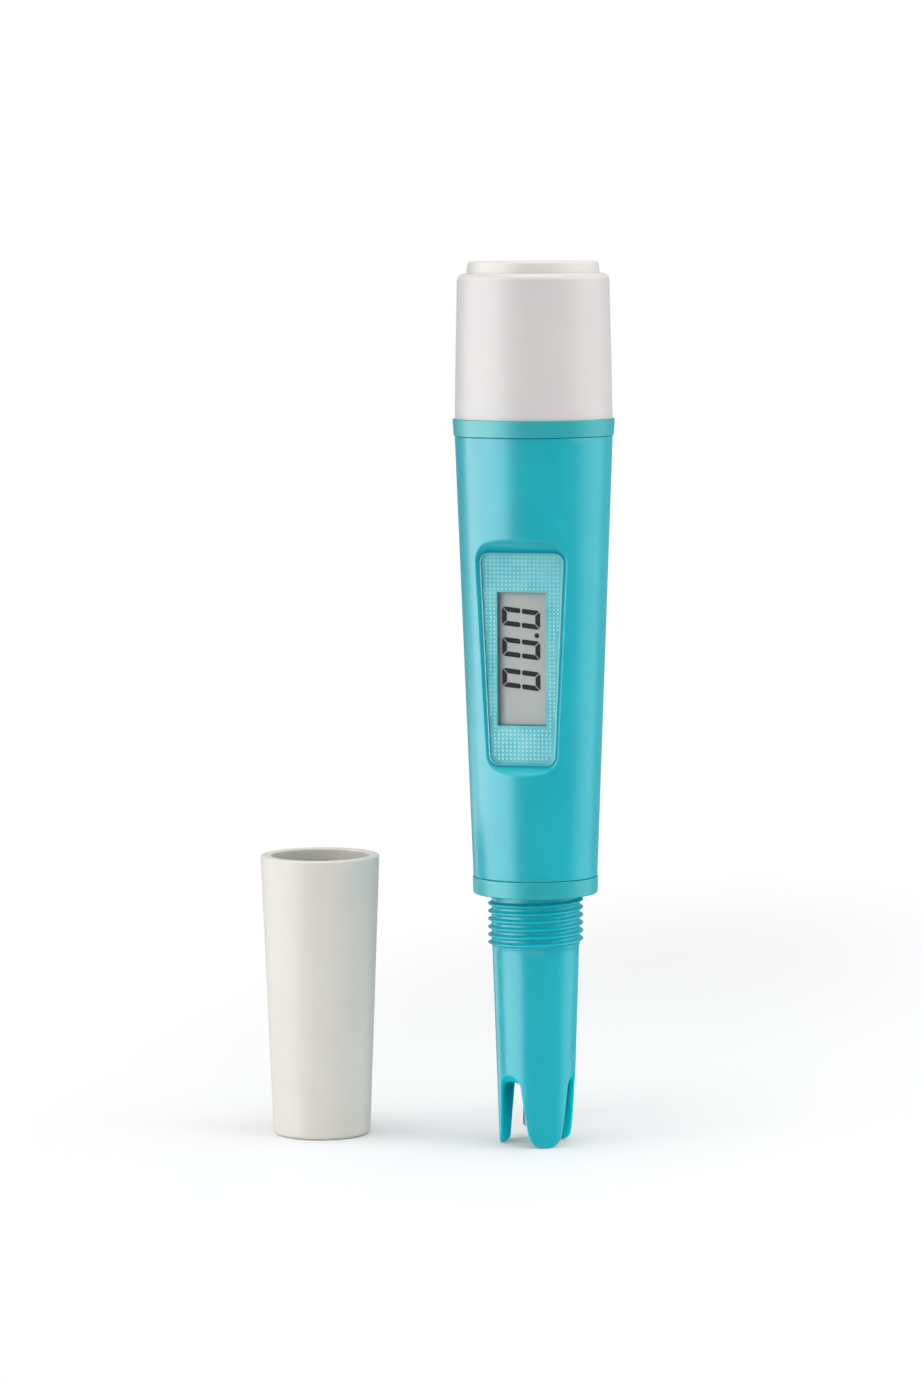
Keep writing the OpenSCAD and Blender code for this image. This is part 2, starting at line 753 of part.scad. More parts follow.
module button_cells() {
    step_h = 0.4;
    step_w = 1;
    cell_gap = 0.02;
    color(steel) on_pen()
        for (i = [0:cell_count - 1])
            translate([0, cell_y, z_cells + i * cell_h]) {
                cylinder(h = step_h + eps, r = cell_r - step_w);
                translate([0, 0, step_h]) cylinder(h = cell_h - step_h - cell_gap, r = cell_r);
            }
}

module contact_leaf() {
    bow_r = (pow(leaf_len / 2, 2) + pow(leaf_h, 2)) / (2 * leaf_h);
    z0 = z_tray + tray_floor;
    color(steel) on_pen() {
        block(tab_w, y_tray, cell_y, z0, z0 + contact_h);
        translate([0, cell_y, z0]) {
            block(leaf_len, -leaf_w / 2, leaf_w / 2, 0, contact_h);
            intersection() {
                translate([0, leaf_w / 2, leaf_h - bow_r]) rotate([90, 0, 0]) difference() {
                    cylinder(h = leaf_w, r = bow_r);
                    translate([0, 0, -past]) cylinder(h = leaf_w + 2 * past, r = bow_r - contact_h);
                }
                block(2 * leaf_len, -leaf_w, leaf_w, 0, 2 * leaf_h);
            }
        }
    }
}

module contact_plate() {
    color(steel) on_pen() {
        block(tab_w, y_tray, cell_y, z_contact, z_contact + contact_h);
        translate([0, cell_y, z_contact]) cylinder(h = contact_h, r = plate_r);
    }
}

module switch_board() {
    color(board_green) on_pen() block(switch_board_w, y_tray, tray_front_y, z_tray_top, z_switch);
}

module switch_housing() {
    color(black) on_pen() translate([0, 0, z_switch]) difference() {
        block(switch_w, -switch_w / 2, switch_w / 2, 0, switch_h);
        translate([0, 0, switch_base_h]) {
            cylinder(h = switch_h - switch_base_h - switch_lid_h, r = collar_r + 2 * fit_gap);
            cylinder(h = switch_h, r = plunger_r + run_gap);
        }
    }
}

module switch_plunger() {
    z_collar = z_switch + switch_h - switch_lid_h - fit_gap - collar_h;
    color(steel) on_pen() translate([0, 0, z_collar]) {
        cylinder(h = collar_h, r = collar_r);
        cylinder(h = z_plunger - z_collar, r = plunger_r);
    }
}

module trimmer_body() {
    color([0.16, 0.32, 0.62]) on_pen() difference() {
        block(
            trimmer_w, y_board - trimmer_h, y_board,
            z_trimmer - trimmer_w / 2, z_trimmer + trimmer_w / 2
        );
        hole_y(
            0, z_trimmer, trimmer_r + run_gap,
            y_board - trimmer_h - past, y_board - trimmer_h + trimmer_sink
        );
    }
}

module trimmer_screw() {
    y_foot = y_board - trimmer_h + trimmer_sink - fit_gap;
    y_face = y_foot - trimmer_screw_h;
    color(steel) on_pen() difference() {
        hole_y(0, z_trimmer, trimmer_r, y_face, y_foot);
        translate([0, y_face, z_trimmer])
            cube([4 * trimmer_r, trimmer_screw_h, trimmer_slot_w], center = true);
    }
}

module head_seal_ring() {
    z0 = z_head + fit_gap;
    z1 = z_cap - fit_gap;
    color(teal) on_pen() rotate_extrude() polygon(concat(
        [[cap_bore_r, z0]],
        arc(head_ring_foot_r - ring_fillet, z0 + ring_fillet, ring_fillet, -90, 0),
        arc(head_ring_r - ring_fillet, z1 - ring_fillet, ring_fillet, 0, 90),
        [[cap_bore_r, z1]]
    ));
}

module battery_cap() {
    gland_r = stem_r + seal_w + 3 * seal_gap;
    z_boss = z_pocket + boss_h;
    z_gland = z_boss - seal_w - gland_lip;
    color(white) on_pen() rotate_extrude() polygon(concat(
        [[cap_bore_r, z_cap], [cap_foot_r, z_cap], [cap_foot_r - cap_waist_taper, z_cap + cap_waist_h]],
        arc(cap_head_r - cap_fillet, z_roof - cap_fillet, cap_fillet, 0, 90),
        [
            [pocket_r, z_roof], [pocket_r, z_pocket],
            [boss_r, z_pocket], [boss_r, z_boss], [gland_r, z_boss], [gland_r, z_gland],
            [stem_r + fit_gap, z_gland], [stem_r + fit_gap, z_partition], [cap_bore_r, z_partition]
        ]
    ));
}

module button_seal() {
    color(black) on_pen() o_ring(stem_r + seal_gap, seal_w, z_pocket + boss_h - gland_lip - seal_w / 2);
}

// A wound wire whose turns keep one radius
module coil(mean_r, wire_r, z0, z1, turns) {
    sides = 6;
    per_turn = 20;
    n = ceil(turns * per_turn);
    polyhedron(
        points = [for (i = [0:n], k = [0:sides - 1])
            let (
                a = 360 * turns * i / n,
                r = mean_r + wire_r * cos(360 * k / sides),
                z = z0 + (z1 - z0) * i / n + wire_r * sin(360 * k / sides)
            )
            [r * cos(a), r * sin(a), z]],
        faces = concat(
            [[for (k = [sides - 1:-1:0]) k]],
            [[for (k = [0:sides - 1]) n * sides + k]],
            [for (i = [0:n - 1], k = [0:sides - 1])
                [i * sides + k, i * sides + (k + 1) % sides,
                    (i + 1) * sides + (k + 1) % sides, (i + 1) * sides + k]]
        )
    );
}

module button_spring() {
    color(steel) on_pen()
        coil(boss_r + 3 * spring_wire_r, spring_wire_r, z_pocket + spring_wire_r,
            z_button_under - spring_wire_r, spring_turns);
}

module top_button() {
    skirt_z = z_pocket + button_travel + loose_gap;
    head_r = button_r - button_taper;
    inner_r = button_r - button_wall;
    color(white) on_pen() rotate_extrude() polygon(concat(
        [
            [0, z_stem], [stem_r, z_stem], [stem_r, z_clip],
            [stem_groove_r, z_clip], [stem_groove_r, z_clip + clip_h],
            [stem_r, z_clip + clip_h], [stem_r, z_button_under],
            [inner_r, z_button_under], [inner_r, skirt_z], [button_r, skirt_z], [button_r, z_roof]
        ],
        arc(head_r - button_fillet, z_top - button_fillet, button_fillet, 0, 90),
        [[0, z_top]]
    ));
}

module button_clip() {
    hub_r = stem_groove_r + fit_gap;
    notch_r = 0.6;
    mouth_w = 1.7 * hub_r;
    color(steel) on_pen() translate([0, 0, z_clip + seal_gap])
        linear_extrude(height = clip_h - 2 * seal_gap) difference() {
            circle(r = clip_r);
            circle(r = hub_r);
            translate([0, -mouth_w / 2]) square([2 * clip_r, mouth_w]);
            for (a = [120, 240]) rotate(a) translate([hub_r, 0]) circle(r = notch_r);
        }
}

module foot_seal_ring() {
    inner_r = sleeve_spigot_r + seal_gap;
    color(teal) on_pen() rotate_extrude() polygon(concat(
        [[inner_r, z_ring]],
        arc(foot_ring_r - ring_fillet, z_ring + ring_fillet, ring_fillet, -90, 0),
        arc(foot_ring_r - ring_fillet, z_case - ring_fillet, ring_fillet, 0, 90),
        [[inner_r, z_case]]
    ));
}

// The gap between two legs, cut outwards from the axis
module slot() {
    mouth_half_w = slot_foot_w + slot_flare * (tip_r + past);
    rotate([90, 0, 0]) linear_extrude(height = 2 * sleeve_head_r) {
        translate([0, arch_z]) circle(r = arch_r);
        polygon([[-arch_r, arch_z], [arch_r, arch_z], [mouth_half_w, -past], [-mouth_half_w, -past]]);
    }
}

// What is cut from a leg to leave a rounded tip with a small flat
module tip_trim() {
    rotate([90, 0, 0]) linear_extrude(height = 2 * sleeve_head_r) difference() {
        translate([-2 * tip_r, -past]) square([4 * tip_r, tip_r + past]);
        for (side = [-1, 1]) translate([side * tip_flat, tip_r]) circle(r = tip_r);
        translate([-tip_flat, 0]) square([2 * tip_flat, tip_r + past]);
    }
}

module probe_sleeve() {
    spigot_top = z_case + socket_len - past;
    groove_h = 1.3 * socket_seal_w;
    color(turquoise) on_pen() difference() {
        rotate_extrude() polygon([
            [sleeve_tip_r - sleeve_wall, 0], [sleeve_tip_r, 0], [sleeve_head_r, z_neck],
            [neck_r, z_neck + neck_bevel], [neck_r, z_ring - neck_bevel / 2],
            [sleeve_spigot_r, z_ring], [sleeve_spigot_r, z_socket_seal - groove_h / 2],
            [seal_groove_r, z_socket_seal - groove_h / 2], [seal_groove_r, z_socket_seal + groove_h / 2],
            [sleeve_spigot_r, z_socket_seal + groove_h / 2], [sleeve_spigot_r, spigot_top],
            [sleeve_top_bore_r, spigot_top], [sleeve_top_bore_r, z_neck], [sleeve_bore_r, z_neck]
        ]);
        for (i = [0:leg_count - 1]) {
            rotate([0, 0, pin_turn + i * 360 / leg_count]) slot();
            rotate([0, 0, leg_turn + i * 360 / leg_count]) tip_trim();
        }
    }
}

module sleeve_o_ring() {
    color(black) on_pen() o_ring(seal_groove_r, socket_seal_w, z_socket_seal);
}

module electrode_holder() {
    foot_r = sleeve_tip_r - sleeve_wall + sleeve_slope * chamber_h - fit_gap;
    seat_r = sleeve_top_bore_r - fit_gap;
    color(white) on_pen() difference() {
        rotate_extrude() polygon([
            [0, chamber_h], [foot_r - holder_bevel, chamber_h], [foot_r, chamber_h + holder_bevel],
            [seat_r, z_neck - holder_seat], [seat_r, holder_top], [0, holder_top]
        ]);
        for (i = [0:leg_count - 1])
            translate([pin_place(i)[0], pin_place(i)[1], chamber_h - past])
                cylinder(h = holder_top - chamber_h + 2 * past, r = pin_r + seal_gap, $fn = 48);
    }
}

// A round pin with a bevelled end and a thin tail for its wire
module pin(i) {
    translate([pin_place(i)[0], pin_place(i)[1], 0]) rotate_extrude($fn = 48) polygon([
        [0, pin_base], [pin_r - pin_bevel, pin_base], [pin_r, pin_base + pin_bevel],
        [pin_r, holder_top], [wire_r, holder_top], [wire_r, z_pin_top], [0, z_pin_top]
    ]);
}

module temperature_sensor() {
    color(steel) on_pen() pin(0);
}

module electrodes() {
    color(steel * 0.6) on_pen() {
        pin(1);
        pin(2);
    }
}

module probe_cap() {
    slope = (probe_cap_mouth_r - probe_cap_end_r) / probe_cap_len;
    floor_r = probe_cap_end_r + slope * probe_cap_floor - probe_cap_wall;
    shoulder_z = probe_cap_len - mouth_len;
    shoulder_r = probe_cap_end_r + slope * shoulder_z - probe_cap_wall;
    color(white) translate([probe_cap_x, probe_cap_dy, 0]) rotate_extrude() polygon(concat(
        [[0, 0]],
        arc(probe_cap_end_r - probe_cap_fillet, probe_cap_fillet, probe_cap_fillet, -90, 0),
        arc(probe_cap_mouth_r - probe_cap_lip, probe_cap_len - probe_cap_lip, probe_cap_lip, 0, 90),
        [
            [mouth_r + probe_cap_lip, probe_cap_len], [mouth_r, probe_cap_len - probe_cap_lip],
            [mouth_r, shoulder_z], [shoulder_r, shoulder_z],
            [floor_r, probe_cap_floor], [0, probe_cap_floor]
        ]
    ));
}

body_shell();
window_lens();
lens_gasket();
lcd_panel();
lcd_bezel();
contact_strips();
main_board();
processor_chip();
board_parts();
lead_wires();
battery_tray();
tray_screws();
button_cells();
contact_leaf();
contact_plate();
switch_board();
switch_housing();
switch_plunger();
trimmer_body();
trimmer_screw();
head_seal_ring();
battery_cap();
button_seal();
button_spring();
top_button();
button_clip();
foot_seal_ring();
probe_sleeve();
sleeve_o_ring();
electrode_holder();
electrodes();
temperature_sensor();
probe_cap();
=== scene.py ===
"""Looks of the salinity tester pen and its probe cap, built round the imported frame.

Sizes are in millimetres on the pen's own axis, and angles are turned from -Y towards +X.
"""

import math

import bmesh
import bpy
import numpy as np
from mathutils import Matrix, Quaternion, Vector

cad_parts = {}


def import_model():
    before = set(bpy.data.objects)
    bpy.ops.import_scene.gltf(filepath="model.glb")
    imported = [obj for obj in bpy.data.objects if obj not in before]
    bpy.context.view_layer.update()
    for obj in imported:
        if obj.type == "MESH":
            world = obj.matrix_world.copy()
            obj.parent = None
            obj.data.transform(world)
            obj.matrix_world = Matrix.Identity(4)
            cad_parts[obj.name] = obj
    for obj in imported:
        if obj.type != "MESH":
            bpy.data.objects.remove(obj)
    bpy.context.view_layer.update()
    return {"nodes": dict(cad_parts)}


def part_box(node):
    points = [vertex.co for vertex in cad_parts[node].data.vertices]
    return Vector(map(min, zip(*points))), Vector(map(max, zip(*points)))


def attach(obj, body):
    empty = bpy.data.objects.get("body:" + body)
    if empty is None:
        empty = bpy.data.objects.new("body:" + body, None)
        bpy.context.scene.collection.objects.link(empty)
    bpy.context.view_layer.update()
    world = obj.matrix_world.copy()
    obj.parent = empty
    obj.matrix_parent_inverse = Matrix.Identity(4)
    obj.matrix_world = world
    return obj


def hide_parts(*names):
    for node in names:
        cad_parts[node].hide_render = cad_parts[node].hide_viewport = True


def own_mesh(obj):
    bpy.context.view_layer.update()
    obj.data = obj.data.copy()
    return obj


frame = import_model()
NODES = frame["nodes"]
MM = 0.001

# Places taken from the frame


def span(node, axis):
    """Lowest and highest place of a CAD node along an axis, in millimetres."""
    low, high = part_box(node)
    return low[axis] / MM, high[axis] / MM


def middle(node, axis):
    low, high = span(node, axis)
    return (low + high) / 2


PEN = (middle("head_seal_ring", 0), 0.0)
CAP = (middle("probe_cap", 0), middle("probe_cap", 1))
RING_FOOT, CASE_FOOT = span("foot_seal_ring", 2)
HEAD_RING = span("head_seal_ring", 2)
CASE_HEAD = HEAD_RING[0] - 0.05
SPIGOT_TOP = span("body_shell", 2)[1]
CAP_FOOT, CAP_ROOF = span("battery_cap", 2)
BUTTON = span("top_button", 2)
SLEEVE_TOP = span("probe_sleeve", 2)[1]
PROBE_CAP_TOP = span("probe_cap", 2)[1]
LENS_FOOT, LENS_HEAD = span("window_lens", 2)
LENS_FACE, LENS_BACK = span("window_lens", 1)
GLASS_FACE = span("lcd_panel", 1)[0]

# Case
CASE_FOOT_R = 12.98
CASE_HEAD_R = 16.43
CASE_WALL = 1.8
CASE_EDGE = 0.25
THREAD_H = 0.55
SPIGOT_R = 13.4
SPIGOT_BORE_R = 12.2
SPIGOT_PITCH = 2.0
SOCKET_R = 9.3
SOCKET_TOP = CASE_FOOT + 9.2

# Window
WINDOW_Y = -LENS_FACE - 0.6
WINDOW_RIM = 0.55
WINDOW_CORNER = 2.7
WINDOW_DRAFT = 0.32
FOOT_BEND = 0.22
FILLET_SHARE = 1.3
FILLET_MOST = 4.2
POCKET_GAP = 0.02
POCKET_Y = -LENS_BACK - 0.15
INNER_Y = -LENS_BACK - 1.1
INNER_GROW = 1.5
LENS_FOOT_W = 13.8
LENS_HEAD_W = 17.9
LENS_CORNER = 2.0
LENS_BEVEL = 0.3
GASKET_GAP = 0.03
DISPLAY_W = 10.4
DISPLAY_SHIFT = -0.15
DISPLAY_LEN = 27.75
DISPLAY_Z = (LENS_FOOT + LENS_HEAD) / 2

# Dots in the back of the lens
DOT_PITCH = 0.84
DOT_R = 0.2
DOT_LEN = 0.27
DOT_H = 0.08
DOT_SIDES = 8
DOT_BARE = 0.4
DOT_MARGIN = 0.65

# Figures on the display
DIGIT_W = 3.95
DIGIT_H = 8.12
DIGIT_SLANT = 0.95
DIGIT_THICK = 0.03
STROKE = 1.05
STROKE_GAP = 0.16
STROKE_BLUNT = 0.22
DIGIT_CORNER = 0.75
DIGIT_TOP_X = -4.54
DIGIT_FEET = (96.35, 102.75, 109.1)
POINT_PLACE = (2.83, 107.95)
POINT_R = 0.52

# Seal rings
HEAD_RING_FOOT_R = 16.67
HEAD_RING_HEAD_R = 16.87
FOOT_RING_BORE_R = 9.27
FOOT_RING_FOOT_R = 13.05
FOOT_RING_HEAD_R = 13.13

# Probe sleeve
SLEEVE_TIP_R = 7.74
SLEEVE_HEAD_R = 9.11
SLEEVE_LEN = 42.0
SLEEVE_WALL = 1.2
NECK_R = 10.0
NECK_ROOT_R = 9.2
NECK_PITCH = 1.65
NECK_CREST = 51.25
SLEEVE_SPIGOT_R = 9.25
BORE_STEP = 0.3
LEG_TURN = math.radians(28.6)
LEG_COUNT = 3
ARCH_Z = 12.5
ARCH_DROP = 1.8
ARCH_R = 2.8
SLOT_FOOT_W = 3.9
TIP_R = 3.2
TIP_FLAT = 0.55
LEG_EDGE = 0.3
FLAT_R = 8.0
EDGE_COUNT = 46
SEAL_GROOVE_Z = 4.6
SEAL_GROOVE_H = 1.3
SEAL_GROOVE_DEPTH = 1

# Battery cap and button
BUTTON_R = 13.85
BUTTON_WALL = 1.4
BUTTON_ROOF = 1.6
STEM_R = 2.2
STEM_NECK_R = 1.5
STEM_BORE_R = 2.25
POCKET_R = 14.05
POCKET_DEPTH = 3.6
PARTITION_H = 1.4
BOSS_R = 3.6
BOSS_H = 2
BOSS_SEAL_R = 3.02
BOSS_SEAL_FOOT = 0.94
CAP_BORE_R = 13.48
CAP_FOOT_R = 16.4
CAP_WAIST_R = 16.2
CAP_HEAD_R = 15.78
CAP_THREAD_TOP = 9

# Spring under the button
SPRING_R = 4.35
SPRING_WIRE_R = 0.25
SPRING_TURNS = 4

# Probe cap
MOUTH_R = 10.35
MOUTH_LEN = 14.0
PROBE_CAP_MOUTH_R = 12.6
PROBE_CAP_END_R = 10.28
PROBE_CAP_WALL = 1.6
PROBE_CAP_FLOOR = 2
PROBE_CAP_HOLLOW = 0.35

# A radius so small that its points join into one on the axis
AXIS_R = 0.0001

COLUMNS = 144
TURN = 2 * math.pi
ROUND = np.arange(COLUMNS) * TURN / COLUMNS


# Mesh helpers


def finished(name, mesh, body, material, replaced=(), sharp=38):
    """A tidy object from a mesh: closed, smooth, painted and riding on its body."""
    work = bmesh.new()
    work.from_mesh(mesh)
    bmesh.ops.remove_doubles(work, verts=work.verts, dist=0.002 * MM)
    bmesh.ops.dissolve_degenerate(work, edges=work.edges, dist=0.001 * MM)
    bmesh.ops.recalc_face_normals(work, faces=work.faces)
    work.to_mesh(mesh)
    work.free()
    mesh.shade_smooth()
    mesh.set_sharp_from_angle(angle=math.radians(sharp))
    obj = bpy.data.objects.new(name, mesh)
    bpy.context.scene.collection.objects.link(obj)
    mesh.materials.clear()
    mesh.materials.append(material)
    flat = obj.modifiers.new("flat faces stay flat", "WEIGHTED_NORMAL")
    flat.keep_sharp = True
    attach(obj, body)
    if replaced:
        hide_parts(*replaced)
    return obj


def new_mesh(name, points, faces):
    mesh = bpy.data.meshes.new(name)
    mesh.from_pydata((np.asarray(points, float) * MM).tolist(), [], faces)
    return mesh


def lattice(name, x, y, z, close_rows=True):
    """A mesh through rows of points. Each row closes on itself."""
    rows, columns = x.shape
    i = np.arange(rows if close_rows else rows - 1)[:, None]
    j = np.arange(columns)[None, :]
    above = (i + 1) % rows
    beside = (j + 1) % columns
    corners = [i * columns + j, i * columns + beside, above * columns + beside, above * columns + j]
    faces = np.stack(np.broadcast_arrays(*corners), -1).reshape(-1, 4)
    return new_mesh(name, np.stack([x, y, z], -1).reshape(-1, 3), faces.tolist())


def turned(name, rows, axis, angles=ROUND, close_rows=True):
    """A mesh turned round an upright axis. A row holds a radius and a height, or one of each per column."""
    radius = np.array([np.broadcast_to(row[0], angles.shape) for row in rows])
    height = np.array([np.broadcast_to(row[1], angles.shape) for row in rows])
    x = axis[0] + radius * np.sin(angles)
    y = axis[1] - radius * np.cos(angles)
    return lattice(name, x, y, height, close_rows)


def unit(v):
    return v / max(np.linalg.norm(v), 1e-12)


def soften(corners, closed=True, steps=6):
    """A profile through corners of radius, height and rounding, with an arc at each rounded one."""
    out = []
    count = len(corners)
    for k, (r, z, rounding) in enumerate(corners):
        here = np.array([r, z], float)
        if rounding == 0 or (not closed and k in (0, count - 1)):
            out.append((r, z))
            continue
        back = unit(np.array(corners[k - 1][:2], float) - here)
        on = unit(np.array(corners[(k + 1) % count][:2], float) - here)
        half = math.acos(max(-1, min(1, float(back @ on)))) / 2
        centre = here + unit(back + on) * rounding / math.sin(half)
        start = here + back * rounding / math.tan(half) - centre
        end = here + on * rounding / math.tan(half) - centre
        a0 = math.atan2(start[1], start[0])
        sweep = (math.atan2(end[1], end[0]) - a0 + math.pi) % TURN - math.pi
        for a in a0 + sweep * np.linspace(0, 1, steps):
            out.append(tuple(centre + rounding * np.array([math.cos(a), math.sin(a)])))
    return out


def smooth(low, high, value):
    """0 below low and 1 above high, with a smooth rise between them."""
    t = np.clip((np.asarray(value, float) - low) / (high - low), 0, 1)
    return t * t * (3 - 2 * t)


def thread_rows(root, crest, z0, z1, pitch, crest_z, angles=ROUND, run_out=0.9, fine=12, sharp=1.4):
    """Rows of a right-hand thread whose crest passes a height at the front. It fades out at both ends."""
    rows = []
    for z in np.linspace(z0, z1, max(2, int(round((z1 - z0) / pitch * fine)))):
        phase = (z - crest_z) / pitch - angles / TURN
        ridge = (0.5 + 0.5 * np.cos(TURN * phase)) ** sharp
        fade = smooth(z0, z0 + run_out, z) * smooth(z1, z1 - run_out, z)
        rows.append((root + (crest - root) * ridge * fade, z))
    return rows


def ring_stack(name, rings):
    """A closed solid through rings of as many points, with a face at each end."""
    count = len(rings[0])
    points = [p for ring in rings for p in ring]
    faces = [list(range(count)), list(range((len(rings) - 1) * count, len(rings) * count))]
    for i in range(len(rings) - 1):
        for j in range(count):
            beside = (j + 1) % count
            faces.append([i * count + j, i * count + beside, (i + 1) * count + beside, (i + 1) * count + j])
    return new_mesh(name, points, faces)


def outward(mesh):
    """Turns all faces of a closed mesh outward."""
    work = bmesh.new()
    work.from_mesh(mesh)
    bmesh.ops.recalc_face_normals(work, faces=work.faces)
    work.to_mesh(mesh)
    work.free()


def carve(mesh, cutter_mesh):
    """The first mesh with the second cut away from it."""
    pair = []
    for name, part in (("raw", mesh), ("cutter", cutter_mesh)):
        outward(part)
        obj = bpy.data.objects.new(name, part)
        bpy.context.scene.collection.objects.link(obj)
        pair.append(obj)
    cut = pair[0].modifiers.new("cut", "BOOLEAN")
    cut.operation = "DIFFERENCE"
    cut.solver = "MANIFOLD"
    cut.object = pair[1]
    seen = pair[0].evaluated_get(bpy.context.evaluated_depsgraph_get())
    result = bpy.data.meshes.new_from_object(seen)
    for obj in pair:
        bpy.data.objects.remove(obj)
    return result


# Materials


def node(tree, kind, **values):
    made = tree.nodes.new(kind)
    for key, value in values.items():
        if hasattr(made, key):
            setattr(made, key, value)
        else:
            made.inputs[key.replace("_", " ")].default_value = value
    return made


def srgb(r, g, b):
    """A colour given as it looks on screen, from 0 to 255, in the units that shaders use."""
    linear = [((c / 255 + 0.055) / 1.055) ** 2.4 if c > 10 else c / 255 / 12.92 for c in (r, g, b)]
    return (*linear, 1.0)


def new_material(name):
    """A material, its node tree and its shader."""
    material = bpy.data.materials.new(name)
    material.use_nodes = True
    tree = material.node_tree
    return material, tree, tree.nodes["Principled BSDF"]


def ranged(tree, value, low, high, start=0.0, end=1.0, **values):
    """An output that goes from low to high while the value goes from start to end."""
    made = node(tree, "ShaderNodeMapRange", **values)
    made.inputs["From Min"].default_value = start
    made.inputs["From Max"].default_value = end
    made.inputs["To Min"].default_value = low
    made.inputs["To Max"].default_value = high
    tree.links.new(value, made.inputs["Value"])
    return made.outputs[0]


def combined(tree, operation, first, second):
    """The result of one step of arithmetic on two outputs, or on an output and a number."""
    made = node(tree, "ShaderNodeMath", operation=operation)
    tree.links.new(first, made.inputs[0])
    if isinstance(second, float):
        made.inputs[1].default_value = second
    else:
        tree.links.new(second, made.inputs[1])
    return made.outputs[0]


def tinted(tree, share, base, colour):
    """A base colour that turns into a fixed colour as the share goes from 0 to 1."""
    mix = node(tree, "ShaderNodeMix", data_type="RGBA")
    tree.links.new(share, mix.inputs[0])
    tree.links.new(base, mix.inputs[6])
    mix.inputs[7].default_value = colour
    return mix.outputs[2]


def mixed(tree, share, first, second):
    """Shows the first shader, or the second one as the share goes from 0 to 1."""
    mix = node(tree, "ShaderNodeMixShader")
    tree.links.new(share, mix.inputs[0])
    tree.links.new(first.outputs[0], mix.inputs[1])
    tree.links.new(second.outputs[0], mix.inputs[2])
    tree.links.new(mix.outputs[0], tree.nodes["Material Output"].inputs["Surface"])


def fine_skin(tree, shader, skin, low, high, strength, depth):
    """Lets a fine noise set a shader's roughness from low to high, and a small bump."""
    tree.links.new(ranged(tree, skin.outputs["Fac"], low, high), shader.inputs["Roughness"])
    bump = node(tree, "ShaderNodeBump", Strength=strength, Distance=depth)
    tree.links.new(skin.outputs["Fac"], bump.inputs["Height"])
    tree.links.new(bump.outputs[0], shader.inputs["Normal"])


def dusted(tree, place, base, share):
    """A base colour with a faint speck of dust in a small share of its cells."""
    cells = node(tree, "ShaderNodeTexVoronoi", Scale=130.0)
    tree.links.new(place.outputs["Object"], cells.inputs["Vector"])
    pick = node(tree, "ShaderNodeSeparateColor")
    tree.links.new(cells.outputs["Color"], pick.inputs["Color"])
    rare = combined(tree, "GREATER_THAN", pick.outputs[0], 1 - share)
    near = ranged(tree, cells.outputs["Distance"], 0.45, 0.0, 0.012, 0.03)
    return tinted(tree, combined(tree, "MULTIPLY", rare, near), base, srgb(120, 116, 110))


def plastic(
    name, colour, deep, roughness, grain=0.35, relief=0.02, metallic=0.0, specks=0.0, cloud=70.0, **sockets
):
    """Moulded plastic: cloudy colour, a fine skin with its own roughness, and specks of dust if asked."""
    material, tree, shader = new_material(name)
    shader.inputs["Metallic"].default_value = metallic
    for key, value in sockets.items():
        shader.inputs[key.replace("_", " ")].default_value = value
    place = node(tree, "ShaderNodeTexCoord")
    clouds = node(tree, "ShaderNodeTexNoise", Scale=cloud, Detail=3.0, Roughness=0.6)
    skin = node(tree, "ShaderNodeTexNoise", Scale=1 / (grain * MM), Detail=2.0, Roughness=0.55)
    for texture in (clouds, skin):
        tree.links.new(place.outputs["Object"], texture.inputs["Vector"])
    tone = node(tree, "ShaderNodeValToRGB")
    tone.color_ramp.elements[0].position = 0.32
    tone.color_ramp.elements[1].position = 0.68
    tone.color_ramp.elements[0].color = deep
    tone.color_ramp.elements[1].color = colour
    tree.links.new(clouds.outputs["Fac"], tone.inputs["Fac"])
    base = tone.outputs["Color"]
    if specks:
        base = dusted(tree, place, base, specks)
    tree.links.new(base, shader.inputs["Base Color"])
    fine_skin(tree, shader, skin, roughness - 0.05, roughness + 0.05, relief * 5, 0.05 * MM)
    return material


def clear_plastic(name, tint, roughness):
    """Clear plastic that lets the lamps through to what is behind it."""
    material, tree, shader = new_material(name)
    shader.inputs["Base Color"].default_value = tint
    shader.inputs["Transmission Weight"].default_value = 1.0
    shader.inputs["IOR"].default_value = 1.46
    shader.inputs["Specular IOR Level"].default_value = 0.1
    place = node(tree, "ShaderNodeTexCoord")
    skin = node(tree, "ShaderNodeTexNoise", Scale=220.0, Detail=2.0)
    tree.links.new(place.outputs["Object"], skin.inputs["Vector"])
    fine_skin(tree, shader, skin, roughness * 0.6, roughness * 1.4, 0.05, 0.1 * MM)
    through = node(tree, "ShaderNodeBsdfTransparent")
    through.inputs["Color"].default_value = tint
    path = node(tree, "ShaderNodeLightPath")
    unbent = combined(tree, "MAXIMUM", path.outputs["Is Shadow Ray"], path.outputs["Is Diffuse Ray"])
    mixed(tree, unbent, shader, through)
    return material


